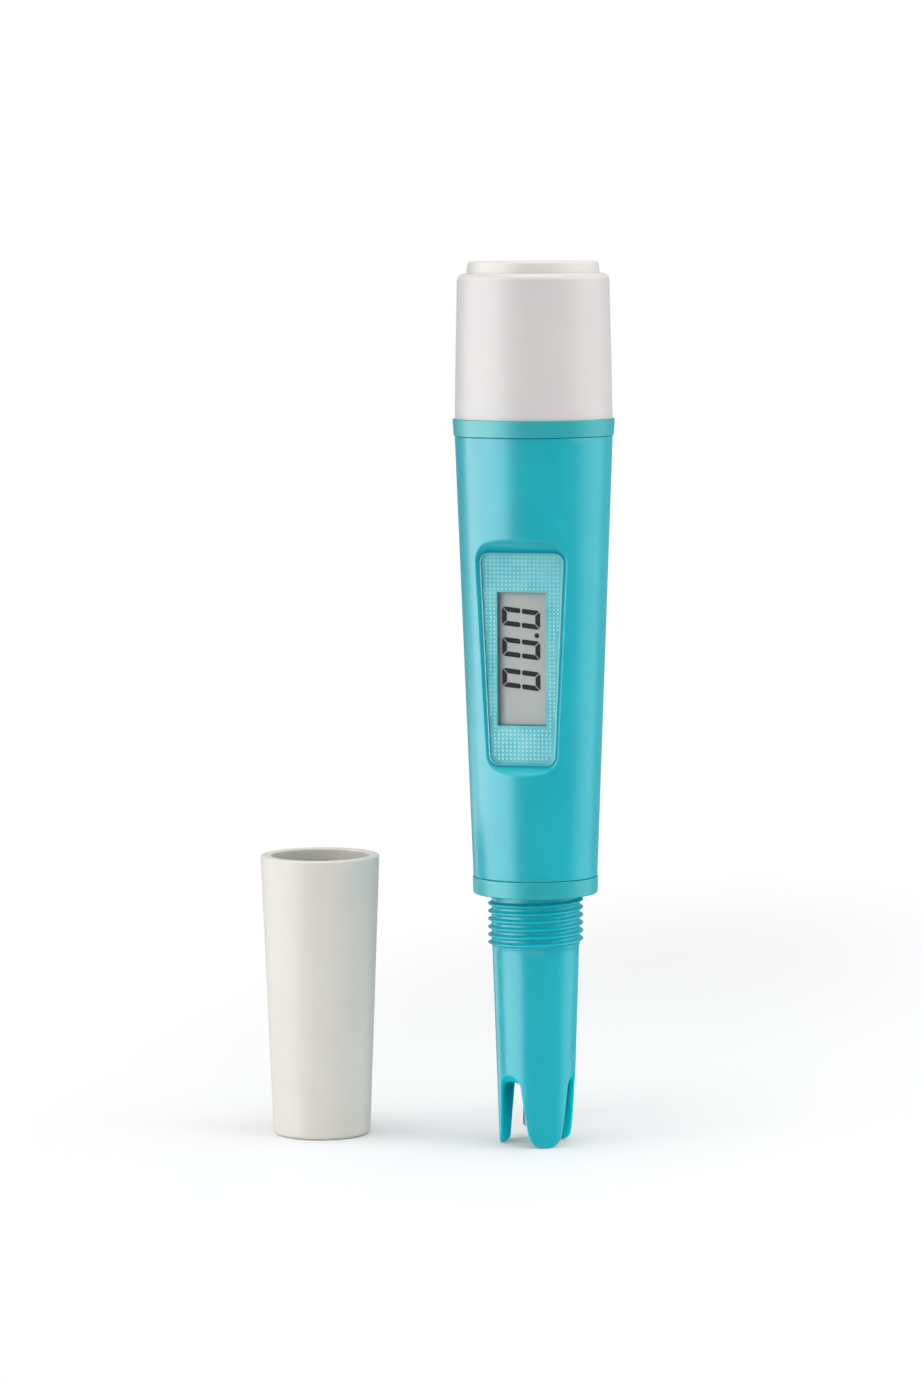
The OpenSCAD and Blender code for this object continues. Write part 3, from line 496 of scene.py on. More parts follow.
TURQUOISE = plastic(
    "turquoise_case", srgb(14, 182, 196), srgb(8, 176, 191), 0.31, relief=0.012,
    Subsurface_Weight=0.5, Subsurface_Radius=(0.15, 1.0, 1.0), Subsurface_Scale=1.2 * MM,
)
# A matte copy of the case's turquoise, painted lighter: painted light on the bore and cut faces, which lie in
# shade
BORE_PAINTED_LIGHTER = plastic(
    "turquoise_bore", srgb(8, 194, 208), srgb(6, 186, 200), 0.6, relief=0.02, Specular_IOR_Level=0.15,
    Subsurface_Weight=1.0, Subsurface_Radius=(0.1, 1.0, 1.0), Subsurface_Scale=2.5 * MM,
)
SILICONE = plastic(
    "teal_silicone", srgb(26, 176, 182), srgb(18, 168, 176), 0.38, grain=0.5, relief=0.02,
    Specular_IOR_Level=0.6,
    Subsurface_Weight=0.3, Subsurface_Radius=(0.6, 1.0, 1.0), Subsurface_Scale=0.6 * MM,
)
WHITE = plastic(
    "white_cap", srgb(212, 209, 208), srgb(208, 206, 205), 0.42, relief=0.01, specks=0.01,
    Specular_IOR_Level=0.36,
)
WHITE_BUTTON = plastic(
    "white_button", srgb(220, 216, 212), srgb(216, 212, 208), 0.4, relief=0.01, Specular_IOR_Level=0.36
)
WHITE_PROBE_CAP = plastic(
    "white_probe_cap", srgb(220, 216, 210), srgb(216, 212, 205), 0.44, relief=0.012, specks=0.035,
    Specular_IOR_Level=0.36,
    Subsurface_Weight=0.35, Subsurface_Radius=(1.0, 0.85, 0.7), Subsurface_Scale=1.6 * MM,
)
INNER_WHITE = plastic("inner_plastic", srgb(226, 226, 222), srgb(216, 216, 212), 0.5)
BLACK_PLASTIC = plastic("black_plastic", srgb(34, 34, 36), srgb(26, 26, 28), 0.5, relief=0.03)
BLACK_RUBBER = plastic("black_rubber", srgb(30, 30, 31), srgb(24, 24, 25), 0.6, relief=0.02)
BLUE = plastic("blue_plastic", srgb(40, 84, 160), srgb(34, 74, 148), 0.35)
HOLDER = plastic("holder_plastic", srgb(60, 168, 178), srgb(50, 158, 170), 0.45)
BOARD = plastic("board_lacquer", srgb(24, 96, 58), srgb(18, 82, 48), 0.3, grain=0.8, relief=0.02)
STRIP = plastic("strip_rubber", srgb(196, 158, 166), srgb(176, 138, 148), 0.6)
STEEL = plastic("plated_steel", srgb(200, 200, 204), srgb(184, 184, 190), 0.26, grain=0.6, metallic=1.0)
CELL = plastic("cell_steel", srgb(206, 206, 206), srgb(190, 190, 192), 0.3, grain=0.9, metallic=1.0)
GOLD = plastic("contact_metal", srgb(214, 178, 106), srgb(202, 164, 92), 0.28, grain=0.6, metallic=1.0)
ELECTRODE = plastic("electrode_metal", srgb(96, 98, 100), srgb(82, 84, 86), 0.34, grain=0.5, metallic=1.0)
# The film's lighter and darker clouds are a painted reflection, standing in for the lens's cloudy sheen
GASKET_PAINTED_SHEEN = plastic(
    "gasket_film", srgb(98, 204, 212), srgb(44, 184, 197), 0.55, grain=0.5, relief=0.01, cloud=210.0
)
DISPLAY = plastic("display_glass", srgb(180, 182, 179), srgb(175, 177, 174), 0.4, grain=0.25, relief=0.004)
DIGIT = plastic("digit_black", srgb(11, 6, 5), srgb(8, 4, 4), 0.8, grain=0.3, Specular_IOR_Level=0.0)
DOTS = plastic("lens_dots", srgb(196, 238, 242), srgb(150, 220, 227), 0.25, grain=0.3)
WIRE = plastic("wire_insulation", srgb(196, 44, 36), srgb(178, 36, 30), 0.42)


def edge_shade(material, axis, start, width, dark):
    """Darkens a material towards a straight edge across an axis, as the frame's edge shades the glass."""
    tree = material.node_tree
    socket = tree.nodes["Principled BSDF"].inputs["Base Color"]
    base = socket.links[0].from_socket
    place = node(tree, "ShaderNodeTexCoord")
    split = node(tree, "ShaderNodeSeparateXYZ")
    tree.links.new(place.outputs["Object"], split.inputs[0])
    near = ranged(tree, split.outputs[axis], 1.0, 0.0, start * MM, (start + width) * MM)
    bent = combined(tree, "POWER", near, 1.6)
    tree.links.new(tinted(tree, bent, base, dark), socket)


edge_shade(DISPLAY, 0, PEN[0] + DISPLAY_SHIFT - DISPLAY_W / 2, 2.0, srgb(30, 30, 29))
edge_shade(DISPLAY, 2, DISPLAY_Z - DISPLAY_LEN / 2, 0.55, srgb(60, 60, 58))
edge_shade(DISPLAY, 2, DISPLAY_Z + DISPLAY_LEN / 2, -1.2, srgb(140, 141, 139))
LENS = clear_plastic("clear_lens", (0.975, 0.985, 0.985, 1.0), 0.04)
# The lens's bevel is painted pale so that it shows as a bright rim line: a painted highlight
LENS_RIM_PAINTED_HIGHLIGHT = plastic(
    "lens_edge", srgb(176, 232, 236), srgb(152, 224, 229), 0.22, grain=0.3, relief=0.01,
    Transmission_Weight=0.15,
)


# Case with its window recess


def lens_half_w(z):
    return (LENS_FOOT_W + (LENS_HEAD_W - LENS_FOOT_W) * (z - LENS_FOOT) / (LENS_HEAD - LENS_FOOT)) / 2


def outline_distance(x, z, grow):
    """How far a point lies outside the recess's flat floor, grown by a margin."""
    z0 = LENS_FOOT - WINDOW_RIM - grow
    z1 = LENS_HEAD + WINDOW_RIM + grow
    half_w = lens_half_w(z) + WINDOW_RIM + grow
    qx = np.abs(x) - half_w + WINDOW_CORNER
    qz = np.maximum(z0 - z, z - z1) + WINDOW_CORNER
    outside = np.hypot(np.maximum(qx, 0), np.maximum(qz, 0))
    return outside + np.minimum(np.maximum(qx, qz), 0) - WINDOW_CORNER


def case_r(z):
    return CASE_FOOT_R + (CASE_HEAD_R - CASE_FOOT_R) * (z - CASE_FOOT) / (CASE_HEAD - CASE_FOOT)


def melted(a, b, width):
    """The lower of two depths, with the edge between them rounded."""
    near = np.maximum(width - np.abs(a - b), 0) / width
    return np.minimum(a, b) - near * near * width / 4


def skin_depth(x, z, radius, floor_y, grow):
    """Distance in front of the axis of a skin of that radius with the recess let into it."""
    cone = np.sqrt(np.maximum(radius ** 2 - x ** 2, 0))
    edge = outline_distance(x, z, grow)
    rise = FOOT_BEND * np.logaddexp(0, edge / FOOT_BEND) / WINDOW_DRAFT
    width = np.clip(FILLET_SHARE * (cone - floor_y), 0.25, FILLET_MOST)
    return melted(cone, floor_y + rise, width)


def case_heights():
    """Heights of the outer skin's rows, close together where the recess begins and ends."""
    quarter = np.linspace(0, math.pi / 2, 5)
    beyond = 5.5
    within = 3
    close = 0.22
    return np.concatenate([
        CASE_FOOT + CASE_EDGE * (1 - np.cos(quarter)),
        np.linspace(CASE_FOOT + 1, LENS_FOOT - beyond, 16, endpoint=False),
        np.arange(LENS_FOOT - beyond, LENS_FOOT + within, close),
        np.linspace(LENS_FOOT + within, LENS_HEAD - within, 40, endpoint=False),
        np.arange(LENS_HEAD - within, LENS_HEAD + beyond, close),
        np.linspace(LENS_HEAD + beyond, CASE_HEAD - 1, 16, endpoint=False),
        CASE_HEAD - CASE_EDGE * (1 - np.sin(quarter)),
    ])


def case_row(r, z, angles, floor_y=None, grow=0):
    """Points of the case round its axis, with the recess in front where the floor's place is given."""
    x = r * np.sin(angles)
    y = r * np.cos(angles)
    if floor_y is not None:
        y = np.where(np.cos(angles) > 0, skin_depth(x, z, r, floor_y, grow), y)
    return x, y, z


def body_shell():
    """The case: its outer skin, the threaded spigot, the bore, the inner skin and the socket."""
    front = np.radians(np.arange(-66, 66, 0.6))
    back = np.radians(np.linspace(66, 294, 84, endpoint=False))
    angles = np.concatenate([front, back])
    rows = []
    for z in case_heights():
        inset = max(0.0, CASE_EDGE - min(z - CASE_FOOT, CASE_HEAD - z))
        r = case_r(z) - CASE_EDGE + math.sqrt(max(CASE_EDGE ** 2 - inset ** 2, 0))
        rows.append(case_row(r, z, angles, WINDOW_Y))
    thread = thread_rows(
        SPIGOT_R - THREAD_H, SPIGOT_R, CASE_HEAD + 0.6, SPIGOT_TOP - 0.6, SPIGOT_PITCH, CASE_HEAD + 2, angles,
        fine=10,
    )
    bore = [
        (SPIGOT_R - 0.9, SPIGOT_TOP), (SPIGOT_BORE_R, SPIGOT_TOP - 0.2),
        (SPIGOT_BORE_R, CASE_HEAD - CASE_WALL),
        (case_r(CASE_HEAD) - CASE_WALL, CASE_HEAD - CASE_WALL - 0.4),
    ]
    rows += [case_row(r, z, angles) for r, z in thread + bore]
    for z in np.linspace(CASE_HEAD - CASE_WALL - 3, SOCKET_TOP + 0.5, 44):
        rows.append(case_row(case_r(z) - CASE_WALL, z, angles, INNER_Y, INNER_GROW))
    socket = [(SOCKET_R, SOCKET_TOP), (SOCKET_R, CASE_FOOT + 0.3), (SOCKET_R + 0.3, CASE_FOOT)]
    rows += [case_row(r, z, angles) for r, z in socket]
    x = np.array([PEN[0] + row[0] for row in rows])
    y = np.array([PEN[1] - row[1] for row in rows])
    z = np.array([np.broadcast_to(row[2], angles.shape) for row in rows])
    mesh = lattice("case_shell", x, y, z)
    mesh = carve(mesh, lens_prism(POCKET_GAP, -WINDOW_Y - 3, -POCKET_Y))
    mesh = carve(mesh, display_prism(-WINDOW_Y - 1, -INNER_Y + 2))
    finished("case_shell", mesh, "pen", TURQUOISE, ["body_shell"], sharp=50)


def lens_outline(margin, steps=9):
    """Points of the lens's outline in X and Z, grown by a margin."""
    z0 = LENS_FOOT - margin
    z1 = LENS_HEAD + margin
    foot_w = LENS_FOOT_W / 2 + margin
    head_w = LENS_HEAD_W / 2 + margin
    r = LENS_CORNER + margin
    slope = (head_w - foot_w) / (z1 - z0)
    tilt = math.atan(slope)
    foot_x = foot_w + slope * r - r / math.cos(tilt)
    head_x = head_w - slope * r - r / math.cos(tilt)
    quarter = math.pi / 2
    arcs = [
        (foot_x, z0 + r, -quarter, -tilt), (head_x, z1 - r, -tilt, quarter),
        (-head_x, z1 - r, quarter, math.pi + tilt), (-foot_x, z0 + r, math.pi + tilt, 3 * quarter),
    ]
    return [
        (x + r * math.cos(a), z + r * math.sin(a))
        for x, z, a0, a1 in arcs for a in np.linspace(a0, a1, steps)
    ]


def upright_ring(outline, y):
    return [(PEN[0] + x, PEN[1] + y, z) for x, z in outline]


def lens_prism(margin, y0, y1):
    return ring_stack("prism", [upright_ring(lens_outline(margin), y) for y in (y0, y1)])


def display_prism(y0, y1):
    half_w = DISPLAY_W / 2
    z0 = DISPLAY_Z - DISPLAY_LEN / 2
    z1 = DISPLAY_Z + DISPLAY_LEN / 2
    outline = [(-half_w, z0), (half_w, z0), (half_w, z1), (-half_w, z1)]
    outline = [(x + DISPLAY_SHIFT, z) for x, z in outline]
    return ring_stack("prism", [upright_ring(outline, y) for y in (y0, y1)])


# Lens, its film, its dots and the display


def window_lens():
    back = LENS_BACK - GASKET_GAP
    rings = [upright_ring(lens_outline(-0.05), back), upright_ring(lens_outline(0), back - 0.05)]
    for t in np.linspace(0, math.pi / 2, 6):
        inset = LENS_BEVEL * (1 - math.cos(t))
        rings.append(upright_ring(lens_outline(-inset), LENS_FACE + LENS_BEVEL * (1 - math.sin(t))))
    mesh = ring_stack("clear_lens", rings)
    lens = finished("clear_lens", mesh, "pen", LENS, ["window_lens"], sharp=60)
    lens.data.materials.append(LENS_RIM_PAINTED_HIGHLIGHT)
    # The bevel's faces take the pale rim colour, a painted highlight
    for face in lens.data.polygons:
        if abs(face.normal.y) < 0.95:
            face.material_index = 1


def gasket():
    """The film behind the lens, open over the display."""
    front, back = span("lens_gasket", 1)
    mesh = carve(lens_prism(-0.35, front, back), display_prism(front - 1, back + 1))
    finished("gasket_film", mesh, "pen", GASKET_PAINTED_SHEEN, ["lens_gasket"])


def dot_places():
    """Places of the dots in X and Z, all round the display but not at the lens's edge and corners."""
    places = []
    for row in range(int((LENS_HEAD - LENS_FOOT) / DOT_PITCH)):
        z = LENS_FOOT + DOT_PITCH * (row + 0.5)
        half = lens_half_w(z) - DOT_MARGIN
        to_end = min(z - LENS_FOOT, LENS_HEAD - z)
        if to_end < 0.7:
            continue
        columns = int(half / DOT_PITCH)
        for column in range(-columns, columns + 1):
            x = column * DOT_PITCH
            beside = abs(x - DISPLAY_SHIFT) > DISPLAY_W / 2 + DOT_BARE
            beyond = abs(z - DISPLAY_Z) > DISPLAY_LEN / 2 + DOT_BARE
            corner = abs(x) > half - 0.8 and to_end < 1.3
            if (beside or beyond) and not corner:
                places.append((x, z))
    return places


def lens_dots():
    """Fine dots all round the display, moulded in the back of the lens."""
    back = LENS_BACK + 0.01
    points = []
    faces = []
    for x, z in dot_places():
        start = len(points)
        for r, depth in ((DOT_R, 0.0), (DOT_R * 0.75, 0.6 * DOT_H)):
            for k in range(DOT_SIDES):
                a = TURN * k / DOT_SIDES
                up = r * DOT_LEN / DOT_R * math.sin(a)
                points.append((PEN[0] + x + r * math.cos(a), back - depth, z + up))
        points.append((PEN[0] + x, back - DOT_H, z))
        top = len(points) - 1
        ring = start + DOT_SIDES
        faces.append([start + k for k in range(DOT_SIDES)])
        for k in range(DOT_SIDES):
            on = (k + 1) % DOT_SIDES
            faces.append([start + k, start + on, ring + on, ring + k])
            faces.append([ring + k, ring + on, top])
    finished("lens_dots", new_mesh("lens_dots", points, faces), "pen", DOTS)


def zero_segments():
    """Outlines of the six strokes of a 0, in its own width and height."""
    w, h, s, r = DIGIT_W, DIGIT_H, STROKE, DIGIT_CORNER
    slip = STROKE_GAP / 2 / r
    cut = STROKE_GAP / math.sqrt(2)
    blunt = STROKE_BLUNT
    half = h / 2 - STROKE_GAP

    def arc(x, y, a0, a1):
        return [(x + r * math.cos(a), y + r * math.sin(a)) for a in np.linspace(a0, a1, 5)]

    q = math.pi / 2
    top = arc(r, h - r, 1.5 * q - slip, q) + arc(w - r, h - r, q, 0.5 * q + slip)
    top += [(w - s - cut, h - s), (s + cut, h - s)]
    side = arc(w - r, h - r, 0.5 * q - slip, 0)
    side += [
        (w, h - half + blunt), (w - blunt, h - half), (w - s + blunt, h - half), (w - s, h - half + blunt),
        (w - s, h - s - cut),
    ]
    upper = [top, side, [(w - x, y) for x, y in side]]
    lower = [[(x, h - y) for x, y in outline] for outline in upper]
    return upper + lower


def digits():
    """The display's figures: three zeros and a point, read from the foot of the pen upwards."""
    rings = []
    for foot in DIGIT_FEET:
        for outline in zero_segments():
            rings.append([
                (DIGIT_TOP_X + DIGIT_H - y, foot + x + DIGIT_SLANT * y / DIGIT_H) for x, y in outline
            ])
    rings.append([
        (POINT_PLACE[0] + POINT_R * math.cos(a), POINT_PLACE[1] + POINT_R * math.sin(a))
        for a in np.linspace(0, TURN, 24, endpoint=False)
    ])
    points = []
    faces = []
    for outline in rings:
        count = len(outline)
        start = len(points)
        points += [(PEN[0] + x, GLASS_FACE, z) for x, z in outline]
        points += [(PEN[0] + x, GLASS_FACE - DIGIT_THICK, z) for x, z in outline]
        faces.append([start + k for k in range(count)])
        faces.append([start + count + k for k in range(count)])
        for k in range(count):
            on = (k + 1) % count
            faces.append([start + k, start + on, start + count + on, start + count + k])
    finished("display_digits", new_mesh("display_digits", points, faces), "pen", DIGIT)


# Rings, caps and button


def head_seal_ring():
    z0, z1 = HEAD_RING
    corners = [
        (CAP_BORE_R, z0, 0), (HEAD_RING_FOOT_R, z0, 0.15),
        (HEAD_RING_HEAD_R, z1 + 0.04, 0.1), (CAP_BORE_R, z1 + 0.04, 0),
    ]
    mesh = turned("head_ring", soften(corners), PEN)
    finished("head_ring", mesh, "head_ring", SILICONE, ["head_seal_ring"])


def foot_seal_ring():
    z0, z1 = RING_FOOT, CASE_FOOT
    corners = [
        (FOOT_RING_BORE_R, z0, 0), (FOOT_RING_FOOT_R, z0, 0.35),
        (FOOT_RING_HEAD_R, z1 - 0.05, 0.18), (FOOT_RING_BORE_R, z1 - 0.05, 0),
    ]
    mesh = turned("foot_ring", soften(corners), PEN)
    finished("foot_ring", mesh, "pen", SILICONE, ["foot_seal_ring"])


def battery_cap():
    """The cap: its wall, the button's pocket, the boss with its seal seat and the thread in its bore."""
    pocket_floor = CAP_ROOF - POCKET_DEPTH
    partition = pocket_floor - PARTITION_H
    seal_foot = pocket_floor + BOSS_SEAL_FOOT
    boss_top = pocket_floor + BOSS_H
    outer = soften([
        (CAP_BORE_R, CAP_FOOT, 0), (CAP_FOOT_R, CAP_FOOT, 0.1), (CAP_WAIST_R, CAP_FOOT + 12, 0),
        (CAP_HEAD_R, CAP_ROOF, 1.5), (POCKET_R, CAP_ROOF, 0.15), (POCKET_R, pocket_floor, 0.3),
        (BOSS_R, pocket_floor, 0.3), (BOSS_R, boss_top, 0.2), (BOSS_SEAL_R, boss_top, 0),
        (BOSS_SEAL_R, seal_foot, 0), (STEM_BORE_R, seal_foot, 0), (STEM_BORE_R, partition, 0.2),
        (CAP_BORE_R, partition, 0.6),
    ], closed=False)
    thread = thread_rows(
        CAP_BORE_R + THREAD_H, CAP_BORE_R, CAP_FOOT + 0.8, CAP_FOOT + CAP_THREAD_TOP,
        SPIGOT_PITCH, CAP_FOOT + 1, fine=10,
    )[::-1]
    above = [(CAP_BORE_R, CAP_FOOT + CAP_THREAD_TOP + 0.4)]
    below = [(CAP_BORE_R + 0.4, CAP_FOOT)]
    mesh = turned("cap_shell", outer + above + thread + below, PEN)
    finished("cap_shell", mesh, "battery_cap", WHITE, ["battery_cap"])


def top_button():
    """The button: its stem with the clip's groove, its hollow under side and its skirt."""
    foot, top = BUTTON
    skirt = CAP_ROOF - POCKET_DEPTH + 1.2
    under = top - BUTTON_ROOF
    inner_r = BUTTON_R - BUTTON_WALL
    corners = [
        (AXIS_R, foot, 0), (STEM_R, foot, 0.2), (STEM_R, foot + 0.6, 0), (STEM_NECK_R, foot + 0.6, 0),
        (STEM_NECK_R, foot + 1.2, 0), (STEM_R, foot + 1.2, 0), (STEM_R, under, 0.4), (inner_r, under, 0.4),
        (inner_r, skirt, 0.2), (BUTTON_R, skirt, 0.3), (BUTTON_R, CAP_ROOF, 0), (BUTTON_R - 0.35, top, 0.6),
        (AXIS_R, top, 0),
    ]
    mesh = turned("button_cap", soften(corners, closed=False), PEN, close_rows=False)
    finished("button_cap", mesh, "top_button", WHITE_BUTTON, ["top_button"])


def probe_cap():
    """The loose cap: its hollow foot, its wall, the threaded mouth and the narrower room below it."""
    top = PROBE_CAP_TOP
    shoulder = top - MOUTH_LEN
    slope = (PROBE_CAP_MOUTH_R - PROBE_CAP_END_R) / top
    inner_r = PROBE_CAP_END_R + slope * shoulder - PROBE_CAP_WALL
    floor_r = PROBE_CAP_END_R + slope * PROBE_CAP_FLOOR - PROBE_CAP_WALL
    outer = soften([
        (AXIS_R, PROBE_CAP_HOLLOW, 0), (8.9, PROBE_CAP_HOLLOW, 0.2), (9.2, 0, 0.15),
        (PROBE_CAP_END_R, 0, 1.0), (PROBE_CAP_MOUTH_R, top, 0.35), (MOUTH_R + 0.05, top, 0.3),
        (MOUTH_R + 0.15, top - 2.5, 0.4), (MOUTH_R + 0.4, top - 2.9, 0),
    ], closed=False)
    thread = thread_rows(
        MOUTH_R + 0.4, MOUTH_R, shoulder + 1.5, top - 3, NECK_PITCH, shoulder + 2.2, fine=10
    )[::-1]
    inner = soften([
        (MOUTH_R + 0.2, shoulder + 1, 0), (MOUTH_R, shoulder, 0.3), (inner_r, shoulder - 0.8, 0.4),
        (floor_r, PROBE_CAP_FLOOR, 1.2), (AXIS_R, PROBE_CAP_FLOOR, 0),
    ], closed=False)
    mesh = turned("probe_cap_shell", outer + thread + inner, CAP, close_rows=False)
    finished("probe_cap_shell", mesh, "probe_cap", WHITE_PROBE_CAP, ["probe_cap"])


# Probe sleeve: one skin from the bore round the legs' edges and up over the thread


def sleeve_r(z):
    return SLEEVE_TIP_R + (SLEEVE_HEAD_R - SLEEVE_TIP_R) * z / SLEEVE_LEN


def leg_edge(count, depth):
    """Angle from the leg's middle and height along its edge, from the top of the arch to the tip.

    The slots and the tips are cut straight through, so the edge differs with the depth under the skin.
    """
    # Only below this height does the slot's side meet the tip's round
    crossing = 3.0

    def turned_by(x, z):
        return math.asin(min(1, x / (sleeve_r(z) - depth)))

    rise = ARCH_R - ARCH_DROP * depth / SLEEVE_WALL
    arch = [(ARCH_R * math.cos(a), ARCH_Z + rise * math.sin(a)) for a in np.linspace(math.pi / 2, 0, 40)]
    flare = (SLOT_FOOT_W - ARCH_R) / (ARCH_Z - TIP_R)
    straight = [(ARCH_R + flare * (ARCH_Z - z), z) for z in np.linspace(ARCH_Z, 0.5, 90)]
    tip = [
        (turned_by(TIP_FLAT + TIP_R * math.sin(a), TIP_R - TIP_R * math.cos(a)), TIP_R - TIP_R * math.cos(a))
        for a in np.linspace(math.pi / 2, 0, 60)
    ]
    tip_z = [z for _, z in tip][::-1]
    tip_turn = [turn for turn, _ in tip][::-1]
    path = []
    for x, z in arch + straight[1:]:
        turn = math.pi / LEG_COUNT - turned_by(x, z)
        if z < crossing and turn > np.interp(z, tip_z, tip_turn):
            break
        path.append((turn, z))
    path += [(turn, z) for turn, z in tip if z < path[-1][1]]
    path.append((0.0, 0.0))
    path = np.array(path)
    flat = np.stack([path[:, 0] * FLAT_R, path[:, 1]], 1)
    step = np.r_[0, np.cumsum(np.linalg.norm(np.diff(flat, axis=0), axis=1))]
    at = np.linspace(0, step[-1], count)
    flat = np.stack([np.interp(at, step, flat[:, k]) for k in (0, 1)], 1)
    for _ in range(2):
        flat[1:-1] = (flat[:-2] + 2 * flat[1:-1] + flat[2:]) / 4
    return flat


def sheet_row(inset, depth):
    """Points of a third's half at a distance in from the edge and a depth under the outer skin."""
    edge = leg_edge(EDGE_COUNT, depth)
    along = np.gradient(edge, axis=0)
    along /= np.linalg.norm(along, axis=1)[:, None]
    inward = np.stack([along[:, 1], -along[:, 0]], 1)
    # A place on the flat sheet that lies well within the leg
    within = np.array([4.0, 20.0])
    inward[np.sum(inward * (within - edge), axis=1) < 0] *= -1
    inward[0] = (0, 1)
    inward[-1] = (0, 1)
    flat = edge + inward * inset
    flat[0, 0] = math.pi / LEG_COUNT * FLAT_R
    flat[-1, 0] = 0.0
    return flat[:, 0] / FLAT_R, flat[:, 1], sleeve_r(flat[:, 1]) - depth


def rise_row(start, share):
    """Points of a row brought a share of the way up to the sleeve's head."""
    angle, z, r = start
    top_angle = np.linspace(math.pi / LEG_COUNT, 0, EDGE_COUNT)
    depth = sleeve_r(z) - r
    up = z + (SLEEVE_LEN - z) * share
    turn = angle + (top_angle - angle) * share
    return turn, up, sleeve_r(up) - depth


def half_third():
    """Rows of a third's half: down the bore, round the leg's edge and up the outer skin."""
    outer = sheet_row(LEG_EDGE, 0)
    inner = sheet_row(LEG_EDGE, SLEEVE_WALL)
    shares = np.linspace(0, 1, 26) ** 1.3
    rows = [rise_row(inner, s) for s in shares[::-1]]
    for a in np.linspace(0, math.pi / 2, 5)[1:]:
        rows.append(sheet_row(LEG_EDGE * (1 - math.sin(a)), SLEEVE_WALL - LEG_EDGE * (1 - math.cos(a))))
    for a in np.linspace(math.pi / 2, 0, 5)[:-1]:
        rows.append(sheet_row(LEG_EDGE * (1 - math.sin(a)), LEG_EDGE * (1 - math.cos(a))))
    rows += [rise_row(outer, s) for s in shares]
    return rows


def all_round(half_rows):
    """Angles, radii and heights of rows that repeat a third's half, mirrored, for every leg."""
    angles = []
    radii = []
    heights = []
    for angle, z, r in half_rows:
        row_angle = []
        for leg in range(LEG_COUNT):
            turn = LEG_TURN + leg * TURN / LEG_COUNT
            row_angle += [turn - angle[:-1], (turn + angle[::-1])[:-1]]
        angles.append(np.concatenate(row_angle))
        radii.append(np.concatenate([r[:-1], r[::-1][:-1]] * LEG_COUNT))
        heights.append(np.concatenate([z[:-1], z[::-1][:-1]] * LEG_COUNT))
    return angles, radii, heights


def sleeve_head(angles):
    """Radii and heights over the legs: the neck's thread, the spigot with its seal groove and the bore."""
    seal_z = CASE_FOOT + SEAL_GROOVE_Z
    groove_foot = seal_z - SEAL_GROOVE_H / 2
    groove_head = seal_z + SEAL_GROOVE_H / 2
    groove_r = SOCKET_R - SEAL_GROOVE_DEPTH
    bore_r = SLEEVE_HEAD_R - SLEEVE_WALL - BORE_STEP
    thread = thread_rows(
        NECK_ROOT_R, NECK_R, SLEEVE_LEN + 0.1, RING_FOOT - 0.7, NECK_PITCH, NECK_CREST, angles,
        run_out=0.6, fine=20, sharp=1.6,
    )
    below = [(SLEEVE_HEAD_R, SLEEVE_LEN), (NECK_ROOT_R, SLEEVE_LEN + 0.15)]
    above = [
        (NECK_ROOT_R, RING_FOOT - 0.25), (SLEEVE_SPIGOT_R, RING_FOOT),
        (SLEEVE_SPIGOT_R, groove_foot), (groove_r, groove_foot),
        (groove_r, groove_head), (SLEEVE_SPIGOT_R, groove_head),
        (SLEEVE_SPIGOT_R, SLEEVE_TOP - 0.2), (SLEEVE_SPIGOT_R - 0.2, SLEEVE_TOP),
        (bore_r, SLEEVE_TOP), (bore_r, SLEEVE_LEN),
    ]
    return below + thread + above


def probe_sleeve():
    """The sleeve, with a matte copy of its turquoise on its inner and cut faces, painted lighter: painted
    light where these faces lie in shade.

    A face is taken for a cut one by how little it faces outward, and more readily in the arches.
    """
    outward_least = 0.35
    outward_least_in_arch = 0.88
    angles, radii, heights = all_round(half_third())
    base = angles[-1]
    for r, z in sleeve_head(base):
        angles.append(base)
        radii.append(np.broadcast_to(r, base.shape))
        heights.append(np.broadcast_to(z, base.shape))
    angles, radii, heights = (np.array(rows) for rows in (angles, radii, heights))
    mesh = lattice("sleeve", PEN[0] + radii * np.sin(angles), PEN[1] - radii * np.cos(angles), heights)
    sleeve = finished("sleeve", mesh, "pen", TURQUOISE, ["probe_sleeve"], sharp=50)
    # Inner and cut faces take the lighter copy, a painted light where they lie in shade
    sleeve.data.materials.append(BORE_PAINTED_LIGHTER)
    for face in sleeve.data.polygons:
        place = face.center / MM
        away = Vector((place.x - PEN[0], place.y - PEN[1], 0)).normalized()
        limit = outward_least_in_arch if ARCH_Z < place.z < ARCH_Z + ARCH_R else outward_least
        if place.z < SLEEVE_LEN - 0.5 and face.normal.dot(away) < limit:
            face.material_index = 1


# Spring under the button


def button_spring():
    low, high = span("button_spring", 2)
    wire = SPRING_WIRE_R
    steps = SPRING_TURNS * 40
    sides = 10
    section = np.arange(sides) * TURN / sides
    r = SPRING_R + wire * np.cos(section)
    x = []
    y = []
    z = []
    for i in range(steps + 1):
        a = TURN * SPRING_TURNS * i / steps
        rise = smooth(0.06, 0.94, i / steps)
        x.append(PEN[0] + r * math.cos(a))
        y.append(PEN[1] + r * math.sin(a))
        z.append(low + wire + (high - low - 2 * wire) * rise + wire * np.sin(section))
    mesh = ring_stack("spring_coil", [list(zip(*row)) for row in zip(x, y, z)])
    spring = finished("spring_coil", mesh, "battery_cap", STEEL, ["button_spring"])
    spring.modifiers.clear()
    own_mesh(spring)


# Carried-over CAD nodes


